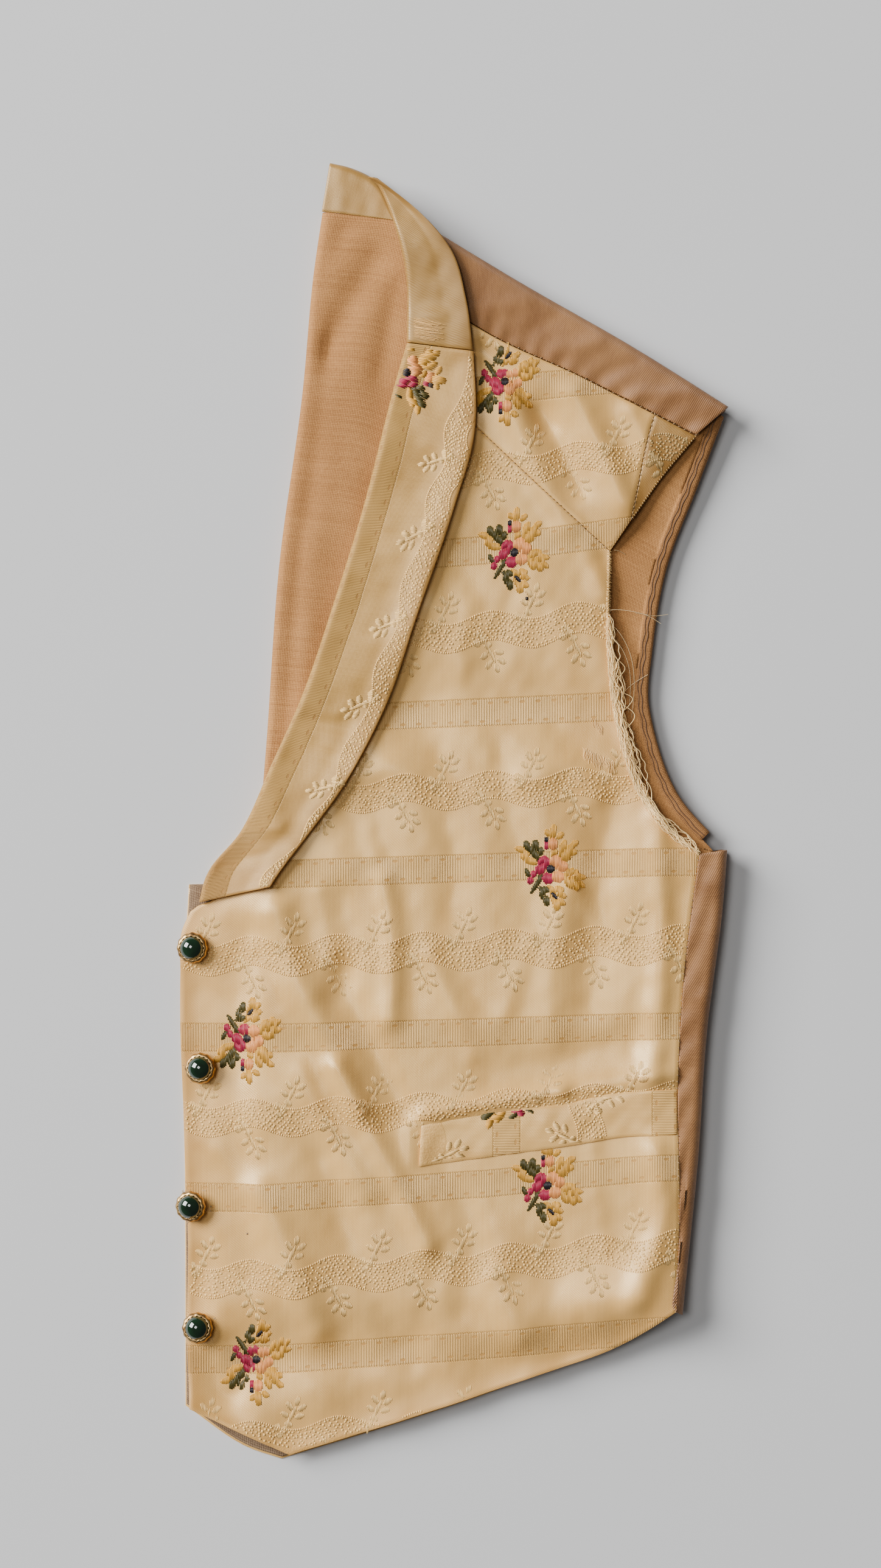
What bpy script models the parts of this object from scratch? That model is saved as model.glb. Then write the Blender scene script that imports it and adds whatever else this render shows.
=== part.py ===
"""A small boy's brocaded silk waistcoat, folded in half at the centre back and laid flat.

The wearer's left front lies on top. The layers, from the table up, are the right front,
the right back, the left back with its linen lining upwards, and the left front.
The origin is at the middle of the underside, +X to the right, +Y to the collar, +Z up.
The tables are in millimetres, and MM turns them into Blender's metres.
"""

import math
from typing import NamedTuple

import bmesh
import bpy
import numpy as np

MM = 0.001

# Walls, gaps and levels of the folded stack
SILK_WALL = 1.2
TWILL_WALL = 1.0
LINING_WALL = 0.9
SEAM_GAP = 0.3
HIDDEN_GAP = 0.9
RIGHT_FRONT_TOP = SILK_WALL + SEAM_GAP
BACK_RISE = 3.8
SIDE_PUFF = 2.4
SIDE_PUFF_REACH = 28.0
SHOULDER_PUFF = 2.2
SHOULDER_PUFF_REACH = 26.0
DROP_REACH = 18.0
DROP_WIDTH = 24.0
AIR_AT_EDGE = 0.2
AIR_INSIDE = 0.6

# The back: how far its hidden layers stay inside the folds, and where its hem lies
BACK_HEM_Y = -160.5
FOLD_INSET = 3.5
CENTRE_INSET = 2.6
LINING_SIDE_CORNER = (84.0, -13.2)
LINING_SHOULDER_CORNER = (83.6, 127.6)
# Up to this height the centre fold rests on the right front, and above it on the table
FOLD_ON_FRONT_Y = 15.0
FOLD_SETTLES = 15.0
LOWER_LINING_Y = 20.0
ARMHOLE_BAND = 2.8
RIM_BULGE = 0.3
RIM_GROOVE = 0.7
LOWER_FOLD_SETBACK = 0.8

# The collar: its stand narrows from the shoulder to the break of the front
COLLAR_WALL = 1.2
STAND_WALL = 1.1
STAND_AT_SHOULDER = 11.0
STAND_AT_BREAK = 3.6
ROLL_RADIUS = 1.7
ROLL_LIFT = 0.4
ROLL_LIFT_REACH = 5.0
FALL_LIFT = 0.3
EDGE_LIFT = 1.3
EDGE_LIFT_REACH = 9.0

# The buttons: a scalloped gilt cup that holds a domed green stone
BUTTON_RADIUS = 5.0
BUTTON_LOBES = 12
LOBE_DEPTH = 0.06
CUP_HEIGHT = 3.2
SEAT_HEIGHT = 2.3
# The cup from its foot to the stone's seat. Columns: share of the radius, height, lobed
CUP_PROFILE = (
    (0.55, 0.0, False), (0.88, 0.9, True), (1.0, 2.0, True), (0.95, 3.0, True),
    (0.83, CUP_HEIGHT, False), (0.81, SEAT_HEIGHT, False),
)
STONE_RADIUS = 3.8
STONE_HEIGHT = 3.4
STONE_GIRDLE = 0.4
STONE_FOOT = 0.94
DOME_DEGREES = (0, 22, 45, 68)

# How finely the walls are divided, and from which angle on an edge stays sharp
SHOULDER_ROWS = 15
SIDE_ROWS = 16
ARMHOLE_ROWS = 20
FALL_COLUMNS = 7
STAND_COLUMNS = 3
TURN_STEPS = 7
UPPER_COLLAR_ROWS = 12
LOWER_COLLAR_ROWS = 36
SHARP_DEGREES = 50

# Outlines in plan, each a smooth line through its rows. Columns: x, y
CENTRE_BACK = (
    (-67.4, -160.5), (-66.8, -81.2), (-64.8, -32.5), (-60.5, 24.1),
    (-56.6, 78.7), (-49.0, 135.2), (-45.3, 174.2), (-40.3, 208.9),
)
NECK_SEAM = ((-42.6, 192.6), (-32.7, 191.3), (-20.0, 189.6), (-9.5, 185.2))
STAND_TOP = ((-40.0, 208.6), (-33.0, 206.6), (-25.0, 201.4), (-20.9, 192.6))
COLLAR_BEHIND_LOW = ((-20.0, 191.8), (-14.0, 188.6), (-8.8, 187.0))
COLLAR_BEHIND_TOP = ((-23.4, 201.0), (-14.0, 192.9), (-8.2, 188.2))
SHOULDER_FOLD = ((-7.0, 186.6), (20.0, 170.3), (59.0, 147.9), (87.7, 129.9))
SHOULDER_SEAM = ((-4.0, 162.0), (13.2, 151.8), (39.5, 139.7), (77.2, 120.6))
BACK_ARMHOLE = (
    (87.4, 129.3), (77.9, 104.0), (68.3, 78.7), (63.5, 51.4),
    (62.3, 35.8), (64.1, 26.0), (71.5, 6.0), (87.0, -12.0),
)
SIDE_FOLD = ((73.0, -161.0), (78.1, -110.5), (80.8, -71.5), (86.0, -30.0), (87.4, -12.4))
SIDE_SEAM = ((70.5, -159.6), (71.7, -130.0), (71.3, -85.0), (73.6, -48.1), (78.1, -13.4))
FRONT_ARMHOLE = (
    (78.1, -13.4), (67.8, -6.1), (59.0, 6.5), (52.7, 26.0), (49.5, 50.0), (49.6, 83.6),
)
DIAGONAL_SEAM = ((-9.4, 137.6), (6.5, 123.5), (29.7, 101.7), (49.6, 83.6))
CORNER_SEAM = ((56.6, 93.9), (58.4, 104.0), (61.3, 120.6), (66.2, 126.3))
UPPER_ARMHOLE_LOW = ((50.0, 84.1), (53.1, 88.7), (56.2, 93.3))
UPPER_ARMHOLE_HIGH = ((57.0, 94.2), (66.8, 107.9), (77.0, 120.1))
FRONT_EDGE = (
    (-85.1, -191.6), (-86.1, -165.0), (-85.7, -141.7), (-87.1, -100.7),
    (-88.2, -52.0), (-87.6, -38.0), (-85.0, -32.2),
)
FRONT_HEM = (
    (-53.1, -206.4), (-19.0, -195.9), (23.9, -181.6), (55.1, -169.9), (70.5, -159.6),
)
FRONT_BREAK = (-82.4, -30.2)
FRONT_CORNER = ((-85.1, -191.6), (-67.8, -199.8), (-53.1, -206.4))
RIGHT_FRONT_EDGE = ((-86.7, -191.4), (-86.9, -120.0), (-87.6, -60.0), (-85.6, -23.5))
RIGHT_FRONT_BREAK = (-62.0, -23.0)
RIGHT_SHOULDER_TIP = (6.5, 156.0)
RIGHT_FRONT_CORNER = ((-86.7, -191.4), (-65.8, -205.2), (-56.0, -208.4))
RIGHT_FRONT_HEM = ((-56.0, -208.4), (-19.0, -197.2), (23.9, -182.4), (70.5, -160.4))

# How far the fronts' neck edges stay from a seam's end, and where the right one starts
NECK_MARGIN = 1.0
RIGHT_NECK_Y = -19.0
RIGHT_COLLAR_Y = -20.0

# The collar from the back neck down to the break. Columns: roll line x, y, outer edge x, y
COLLAR_UPPER = (
    (-32.7, 206.8, -28.0, 205.2), (-25.0, 202.0, -12.5, 192.5), (-19.8, 189.0, -1.6, 180.0),
    (-15.6, 171.0, 3.4, 164.0), (-15.4, 150.4, 5.6, 147.7),
)
COLLAR_LOWER = (
    (-15.5, 149.8, 5.8, 147.1), (-19.2, 137.2, 6.6, 128.0), (-29.2, 98.2, -0.5, 97.0),
    (-38.5, 68.0, -12.0, 63.5), (-48.8, 37.7, -22.5, 33.5), (-58.6, 15.6, -35.0, 9.5),
    (-68.5, -6.0, -46.5, -6.5), (-80.6, -22.2, -56.6, -19.9), (-82.2, -29.0, -59.2, -23.9),
)

# The pocket welt. Columns: lower edge x, y, upper edge x, y
WELT = (
    (-11.4, -113.6, -10.6, -99.9), (12.4, -110.3, 10.0, -95.6), (38.5, -106.6, 35.6, -93.6),
    (52.0, -104.3, 50.0, -90.3), (70.9, -103.1, 70.9, -88.9),
)
WELT_LIFT = 0.3


class Fold(NamedTuple):
    """A soft ridge, or a trough where rise is below 0, along a straight run."""

    x0: float
    y0: float
    x1: float
    y1: float
    rise: float
    width: float


FRONT_FOLDS = (
    Fold(-46, -38, -27, -92, -0.6, 5.0),
    Fold(-27, -92, -8, -134, -0.6, 4.0),
    Fold(-29, -74, -12, -110, 1.3, 5.0),
    Fold(-36, -92, -18, -128, 0.8, 5.0),
    Fold(-25, -24, -25, -68, 0.9, 5.0),
    Fold(-18, -30, -19, -70, -0.5, 4.5),
    Fold(-46, -128, -28, -164, -0.6, 8.0),
    Fold(-58, -146, -48, -172, 0.8, 6.5),
    Fold(-27, -168, -41, -196, -0.5, 6.5),
    Fold(62, -104, 65, -132, 0.8, 5.0),
    Fold(65, -132, 54, -160, 1.1, 5.0),
    Fold(41, -20, 29, -58, -0.6, 8.5),
    Fold(63, -14, 65, -46, 1.1, 5.0),
    Fold(50, -58, 53, -84, 0.8, 6.0),
    Fold(2, 6, 6, -34, -0.5, 5.0),
    Fold(-8, -18, -7, -42, 0.6, 5.5),
    Fold(32, 139, 50, 110, -0.5, 4.5),
    Fold(26, 142, 45, 104, 1.1, 5.5),
    Fold(24, 112, 47, 72, -0.5, 5.0),
    Fold(42, 96, 47, 66, 0.9, 5.0),
    Fold(58, 132, 67, 116, 0.7, 5.0),
    Fold(-62, -52, -50, -78, 0.7, 6.0),
)
COLLAR_FOLDS = (
    Fold(-31, 90, -5, 84, -0.4, 3.0),
    Fold(-50, 30, -28, 27, -0.4, 3.0),
    Fold(-53, 22, -34, 16, -0.3, 3.0),
    Fold(-66, -10, -44, -8, -0.3, 3.0),
    Fold(-18, 165, 4, 160, -0.3, 3.5),
)


class Button(NamedTuple):
    """One button: its place, its height over the cloth, and how far it leans."""

    x: float
    y: float
    rise: float
    lean_x: float
    lean_y: float


BUTTONS = (
    Button(-84.1, -43.6, 0.6, 3.0, -6.0),
    Button(-81.4, -82.4, 0.7, -2.0, -9.0),
    Button(-84.3, -126.5, 1.1, 4.0, -14.0),
    Button(-82.4, -165.8, 0.7, -4.0, -6.0),
)


def ease(share):
    """0 to 1 with a soft start and end."""
    share = np.clip(share, 0.0, 1.0)
    return share * share * (3.0 - 2.0 * share)


def smooth_line(rows, count):
    """count points, evenly spaced, on the smooth line through a table's rows."""
    rows = np.array(rows, float)
    steps = np.linalg.norm(np.diff(rows, axis=0), axis=1)
    along = np.concatenate([[0.0], np.cumsum(steps)])
    tangents = np.gradient(rows, along, axis=0)
    dense = np.linspace(0.0, along[-1], 20 * len(rows))
    spans = np.clip(np.searchsorted(along, dense, side="right") - 1, 0, len(steps) - 1)
    t = ((dense - along[spans]) / steps[spans])[:, None]
    start, end = rows[spans], rows[spans + 1]
    reach = steps[spans][:, None]
    points = (
        (2 * t**3 - 3 * t**2 + 1) * start
        + (t**3 - 2 * t**2 + t) * reach * tangents[spans]
        + (3 * t**2 - 2 * t**3) * end
        + (t**3 - t**2) * reach * tangents[spans + 1]
    )
    walked = np.linalg.norm(np.diff(points, axis=0), axis=1)
    walked = np.concatenate([[0.0], np.cumsum(walked)])
    wanted = np.linspace(0.0, walked[-1], count)
    columns = [np.interp(wanted, walked, points[:, k]) for k in range(rows.shape[1])]
    return np.stack(columns, axis=1)


def joined(*lines):
    """Lines that follow each other, with each shared end kept once."""
    return np.concatenate([lines[0]] + [line[1:] for line in lines[1:]])


def shifted(line, distance):
    """A line moved to the left of its own direction."""
    along = np.gradient(line, axis=0)
    along /= np.linalg.norm(along, axis=1)[:, None]
    return line + distance * np.stack([-along[:, 1], along[:, 0]], axis=1)


def patch(bottom, top, left, right):
    """The plan grid between four edge lines, rows from bottom to top."""
    v = np.linspace(0.0, 1.0, len(left))[:, None, None]
    u = np.linspace(0.0, 1.0, len(bottom))[None, :, None]
    across = (1 - u) * left[:, None] + u * right[:, None]
    upward = (1 - v) * bottom[None] + v * top[None]
    corners = (
        (1 - u) * (1 - v) * bottom[0]
        + u * (1 - v) * bottom[-1]
        + (1 - u) * v * top[0]
        + u * v * top[-1]
    )
    return across + upward - corners


def between(left, right, columns):
    """The plan grid between two lines that run the same way."""
    u = np.linspace(0.0, 1.0, columns)[None, :, None]
    return (1 - u) * left[:, None] + u * right[:, None]


def distance_to(line, plan):
    """How far each plan point lies from a line of straight runs."""
    nearest = np.full(plan.shape[:-1], np.inf)
    for start, end in zip(line[:-1], line[1:]):
        run = end - start
        share = np.clip(((plan - start) @ run) / (run @ run), 0.0, 1.0)
        gap = np.linalg.norm(plan - start - share[..., None] * run, axis=-1)
        nearest = np.minimum(nearest, gap)
    return nearest


def fold_height(folds, plan):
    """The sum of the soft ridges and troughs, which fade out towards their ends."""
    height = np.zeros(plan.shape[:-1])
    for fold in folds:
        line = np.array(((fold.x0, fold.y0), (fold.x1, fold.y1)), float)
        height += fold.rise * np.exp(-((distance_to(line, plan) / fold.width) ** 2))
    return height


CENTRE_LINE = smooth_line(CENTRE_BACK, 60)
SHOULDER_LINE = smooth_line(SHOULDER_FOLD, 12)
SIDE_LINE = smooth_line(SIDE_FOLD, 16)


def over_back(plan):
    """1 over the back's layers, easing to 0 past its centre fold and its hem."""
    centre_x = np.interp(plan[..., 1], CENTRE_LINE[:, 1], CENTRE_LINE[:, 0])
    past_centre = ease((plan[..., 0] - centre_x + DROP_REACH) / DROP_WIDTH)
    past_hem = ease((plan[..., 1] - BACK_HEM_Y + DROP_REACH) / DROP_WIDTH)
    return past_centre * past_hem


def stack_top(plan):
    """The top of the hidden back layers."""
    side = (distance_to(SIDE_LINE, plan) / SIDE_PUFF_REACH) ** 2
    shoulder = (distance_to(SHOULDER_LINE, plan) / SHOULDER_PUFF_REACH) ** 2
    puff = SIDE_PUFF * np.exp(-side) + SHOULDER_PUFF * np.exp(-shoulder)
    return (BACK_RISE + puff) * over_back(plan)


def stack_middle(plan):
    """The level between the left back and the right back."""
    return 0.5 * (stack_top(plan) + RIGHT_FRONT_TOP)


def lining_low(plan):
    return stack_top(plan) + SEAM_GAP


def front_low(plan):
    """The underside of the left front."""
    air = AIR_AT_EDGE + AIR_INSIDE * over_back(plan)
    lining_top = lining_low(plan) + LINING_WALL + SEAM_GAP
    bare = lining_top + air + fold_height(FRONT_FOLDS, plan)
    return np.maximum(bare, RIGHT_FRONT_TOP + AIR_AT_EDGE)


def front_top(plan):
    return front_low(plan) + SILK_WALL


def raised(plan, height):
    """A plan grid with its height as a third column."""
    height = np.broadcast_to(height, plan.shape[:-1])
    return np.concatenate([plan, height[..., None]], axis=-1)


def material(name, colour, roughness, metallic=0.0):
    made = bpy.data.materials.new(name)
    made.use_nodes = True
    shader = made.node_tree.nodes["Principled BSDF"]
    shader.inputs["Base Color"].default_value = (*colour, 1.0)
    shader.inputs["Roughness"].default_value = roughness
    shader.inputs["Metallic"].default_value = metallic
    return made


def add_mesh(name, points, faces, finish):
    """One closed object from points in millimetres."""
    mesh = bpy.data.meshes.new(name)
    mesh.from_pydata([tuple(p) for p in np.asarray(points) * MM], [], faces)
    work = bmesh.new()
    work.from_mesh(mesh)
    bmesh.ops.recalc_face_normals(work, faces=work.faces)
    work.to_mesh(mesh)
    work.free()
    mesh.shade_smooth()
    mesh.set_sharp_from_angle(angle=math.radians(SHARP_DEGREES))
    mesh.materials.append(finish)
    placed = bpy.data.objects.new(name, mesh)
    bpy.context.scene.collection.objects.link(placed)
    return placed


def grid_border(rows, columns):
    """The numbers of a grid's border points, once round."""
    index = np.arange(rows * columns).reshape(rows, columns)
    return np.concatenate(
        [index[0, :-1], index[:-1, -1], index[-1, :0:-1], index[:0:-1, 0]]
    )


def cloth(name, upper, lower, finish, rings=()):
    """A closed wall between two grids. rings are border loops on the way down its rim."""
    rows, columns = upper.shape[:2]
    size = rows * columns
    points = [upper.reshape(size, 3), lower.reshape(size, 3), *rings]
    faces = []
    for row in range(rows - 1):
        for column in range(columns - 1):
            corner = row * columns + column
            quad = (corner, corner + 1, corner + columns + 1, corner + columns)
            faces.append(quad)
            faces.append(tuple(size + k for k in reversed(quad)))
    border = grid_border(rows, columns)
    loops = [border]
    for number in range(len(rings)):
        loops.append(2 * size + number * len(border) + np.arange(len(border)))
    loops.append(border + size)
    for above, below in zip(loops[:-1], loops[1:]):
        for k in range(len(border)):
            after = (k + 1) % len(border)
            faces.append(tuple(int(n) for n in (above[k], below[k], below[after], above[after])))
    return add_mesh(name, np.concatenate(points), faces, finish)


def flat_cloth(name, plan, low, wall, finish):
    """A cloth wall over a plan grid, from its low level up."""
    return cloth(name, raised(plan, low + wall), raised(plan, low), finish)


def half_turn(fold, inward, high, low, wall, steps):
    """Both faces of a wall that turns round a fold, from its top leg to its lower leg."""
    radius = 0.5 * (high - low)[:, None]
    middle = 0.5 * (high + low)[:, None]
    angle = np.linspace(0.0, math.pi, steps)[None, :]
    faces = []
    for reach in (radius, radius - wall):
        inset = radius - reach * np.sin(angle)
        plan = fold[:, None] + inset[..., None] * inward[:, None]
        faces.append(raised(plan, middle + reach * np.cos(angle)))
    return faces


def towards(start, end):
    run = end - start
    return run / np.linalg.norm(run, axis=1)[:, None]


def folded_strip(name, fold, seam, top, low, wall, finish, columns=4, steps=TURN_STEPS):
    """A strip that lies from its seam to a fold on top, and turns under at the fold.

    top gives the height of its upper face, and low that of the turned end's lower face.
    """
    inward = towards(fold, seam)
    radius = 0.5 * (top(fold) - low(fold))[:, None]
    turn_start = fold + radius * inward
    outer, inner = half_turn(fold, inward, top(turn_start), low(turn_start), wall, steps)
    leg = between(seam, turn_start, columns)[:, :-1]
    outer = np.concatenate([raised(leg, top(leg)), outer], axis=1)
    inner = np.concatenate([raised(leg, top(leg) - wall), inner], axis=1)
    return cloth(name, outer, inner, finish)


def bottom_strip(name, fold, seam, high, wall, finish, columns=3, steps=6):
    """A strip on the table from its seam to a fold, where it turns up as far as high."""
    inward = towards(fold, seam)
    radius = 0.5 * high(fold)[:, None]
    turn_start = fold + radius * inward
    level = high(turn_start)
    outer, inner = half_turn(fold, inward, level, np.zeros(len(fold)), wall, steps)
    leg = between(turn_start, seam, columns)[:, 1:]
    outer = np.concatenate([outer, raised(leg, 0.0)], axis=1)
    inner = np.concatenate([inner, raised(leg, wall)], axis=1)
    return cloth(name, outer, inner, finish)


def rim_rings(upper, lower, shares_and_reaches):
    """Border loops down a rim. Columns: share of the way down, reach outwards."""
    border = grid_border(*upper.shape[:2])
    high = upper.reshape(-1, 3)[border]
    low = lower.reshape(-1, 3)[border]
    along = np.roll(high, -1, axis=0)[:, :2] - np.roll(high, 1, axis=0)[:, :2]
    outward = np.stack([along[:, 1], -along[:, 0]], axis=1)
    outward /= np.linalg.norm(outward, axis=1)[:, None]
    rings = []
    for share, reach in shares_and_reaches:
        ring = (1 - share) * high + share * low
        ring[:, :2] += reach * outward
        rings.append(ring)
    return rings


LAYERED_RIM = (
    (0.20, RIM_BULGE), (0.38, RIM_BULGE), (0.50, -RIM_GROOVE), (0.62, RIM_BULGE),
    (0.80, RIM_BULGE),
)


def collar_stations(table, count):
    """Roll line and outer edge points, side by side down the collar."""
    both = smooth_line(table, count)
    return both[:, :2], both[:, 2:]


def stand_width(roll):
    """The width of the collar's stand, by how far down the roll line a point lies."""
    share = (COLLAR_UPPER[0][1] - roll[:, 1]) / (COLLAR_UPPER[0][1] - COLLAR_LOWER[-1][1])
    return STAND_AT_SHOULDER + share * (STAND_AT_BREAK - STAND_AT_SHOULDER)


def neck_edge(roll, edge):
    """Where a front starts, beside the collar's stand."""
    return roll + (stand_width(roll) + HIDDEN_GAP)[:, None] * towards(roll, edge)


def make_collar(name, table, count, finish):
    """A collar piece: the fall on top, the roll, and the stand under it."""
    roll, edge = collar_stations(table, count)
    outward = towards(roll, edge)
    width = np.linalg.norm(edge - roll, axis=1)

    def fall_low(plan):
        inside = np.linalg.norm(plan - roll[:, None], axis=-1) - ROLL_RADIUS
        left = width[:, None] - ROLL_RADIUS - inside
        near_roll = ROLL_LIFT * np.exp(-inside / ROLL_LIFT_REACH)
        near_edge = EDGE_LIFT * ease(1.0 - left / EDGE_LIFT_REACH)
        lift = FALL_LIFT + near_roll + near_edge + fold_height(COLLAR_FOLDS, plan)
        return front_top(plan) + SEAM_GAP + np.maximum(lift, 0.0)

    fall = between(edge, roll + ROLL_RADIUS * outward, FALL_COLUMNS)
    low = fall_low(fall)
    high_at_roll = low[:, -1] + COLLAR_WALL
    low_at_roll = front_low(fall[:, -1])
    outer, inner = half_turn(roll, outward, high_at_roll, low_at_roll, STAND_WALL, TURN_STEPS)
    radius = 0.5 * (high_at_roll - low_at_roll)[:, None]
    stand_start = roll + radius * outward
    stand_end = roll + stand_width(roll)[:, None] * outward
    stand = between(stand_start, stand_end, STAND_COLUMNS)[:, 1:]
    stand_low = front_low(stand)
    outer = np.concatenate(
        [raised(fall, low + COLLAR_WALL)[:, :-1], outer, raised(stand, stand_low)], axis=1
    )
    inner = np.concatenate(
        [raised(fall, low)[:, :-1], inner, raised(stand, stand_low + STAND_WALL)], axis=1
    )
    return cloth(name, outer, inner, finish)


def make_back(linen, hidden):
    """The lining of the left back, and the folded layers under it."""
    rows_side, rows_armhole, columns = 11, 13, 15
    rows = rows_side + rows_armhole - 1
    to_neck = [row for row in CENTRE_BACK if row[1] < NECK_SEAM[0][1]]
    centre = smooth_line([*to_neck, NECK_SEAM[0]], rows)
    left = shifted(centre, -CENTRE_INSET)
    side = shifted(smooth_line(SIDE_FOLD, rows_side), FOLD_INSET)
    armhole = shifted(smooth_line(BACK_ARMHOLE, rows_armhole), -FOLD_INSET)[::-1]
    side[-1] = armhole[0] = LINING_SIDE_CORNER
    right = joined(side, armhole)
    neck = smooth_line(NECK_SEAM, 5)
    shoulder = shifted(smooth_line(SHOULDER_FOLD, columns - 4), -FOLD_INSET)
    right[-1] = shoulder[-1] = LINING_SHOULDER_CORNER
    shoulder[0] = neck[-1]
    top = joined(neck, shoulder)
    top[0] = left[-1]
    bottom = np.linspace(left[0], right[0], columns)
    plan = patch(bottom, top, left, right)

    upper = raised(plan, stack_top(plan))
    lower = raised(plan, RIGHT_FRONT_TOP)
    rings = rim_rings(upper, lower, LAYERED_RIM)
    cloth("back_folded_layers", upper, lower, hidden, rings)

    inward = towards(centre, left)
    on_front = ease((FOLD_ON_FRONT_Y + FOLD_SETTLES - centre[:, 1]) / FOLD_SETTLES)
    turn_low = RIGHT_FRONT_TOP * on_front
    turn_high = lining_low(left) + LINING_WALL
    outer, inner = half_turn(centre, inward, turn_high, turn_low, LINING_WALL, TURN_STEPS)
    outer, inner = outer[:, ::-1], inner[:, ::-1]
    high = raised(plan, lining_low(plan) + LINING_WALL)
    low = raised(plan, lining_low(plan))
    cloth(
        "back_lining_left",
        np.concatenate([outer, high], axis=1),
        np.concatenate([inner, low], axis=1),
        linen,
    )

    # The right half of the lining faces the table between the centre fold and the collar
    fold = smooth_line([row for row in to_neck if row[1] > LOWER_LINING_Y], 14)
    roll = np.array(COLLAR_UPPER + COLLAR_LOWER)[:, :2]
    roll_x = np.interp(fold[:, 1], roll[::-1, 1], roll[::-1, 0])
    facing = np.stack([roll_x - SEAM_GAP, fold[:, 1]], axis=1)
    plan = between(shifted(fold, -CENTRE_INSET), facing, 4)
    flat_cloth("back_lining_right", plan, np.zeros(plan.shape[:2]), LINING_WALL, linen)


def make_folds(twill):
    """The back's twill, where it comes round the shoulder and the side to the front."""
    shoulder = smooth_line(SHOULDER_FOLD, SHOULDER_ROWS)
    shoulder_seam = shifted(smooth_line(SHOULDER_SEAM, SHOULDER_ROWS), SEAM_GAP)
    side = smooth_line(SIDE_FOLD, SIDE_ROWS)
    side_seam = shifted(smooth_line(SIDE_SEAM, SIDE_ROWS), -SEAM_GAP)
    armhole = smooth_line(BACK_ARMHOLE, ARMHOLE_ROWS)[1:-1]
    armhole_seam = shifted(armhole, -ARMHOLE_BAND)

    def upper_low(plan):
        return stack_middle(plan) + 0.5 * SEAM_GAP

    def lower_high(plan):
        return stack_middle(plan) - 0.5 * SEAM_GAP

    def band_top(plan):
        return lining_low(plan) + TWILL_WALL

    folded_strip("back_shoulder_left", shoulder, shoulder_seam, front_top, upper_low, TWILL_WALL, twill)
    folded_strip("back_side_left", side, side_seam, front_top, upper_low, TWILL_WALL, twill)
    folded_strip(
        "back_armhole_edge_left", armhole, armhole_seam, band_top, upper_low, TWILL_WALL, twill, 2, 6
    )
    setback = LOWER_FOLD_SETBACK
    beside_collar = 2
    lower_shoulder = shifted(shoulder, -setback)[beside_collar:]
    lower_seam = shoulder_seam[beside_collar:]
    bottom_strip("back_shoulder_right", lower_shoulder, lower_seam, lower_high, TWILL_WALL, twill)
    bottom_strip("back_side_right", shifted(side, setback), side_seam, lower_high, TWILL_WALL, twill)
    lower_armhole = shifted(armhole, -0.5 * setback)
    bottom_strip(
        "back_armhole_edge_right", lower_armhole, armhole_seam, lower_high, TWILL_WALL, twill, 2
    )


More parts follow.
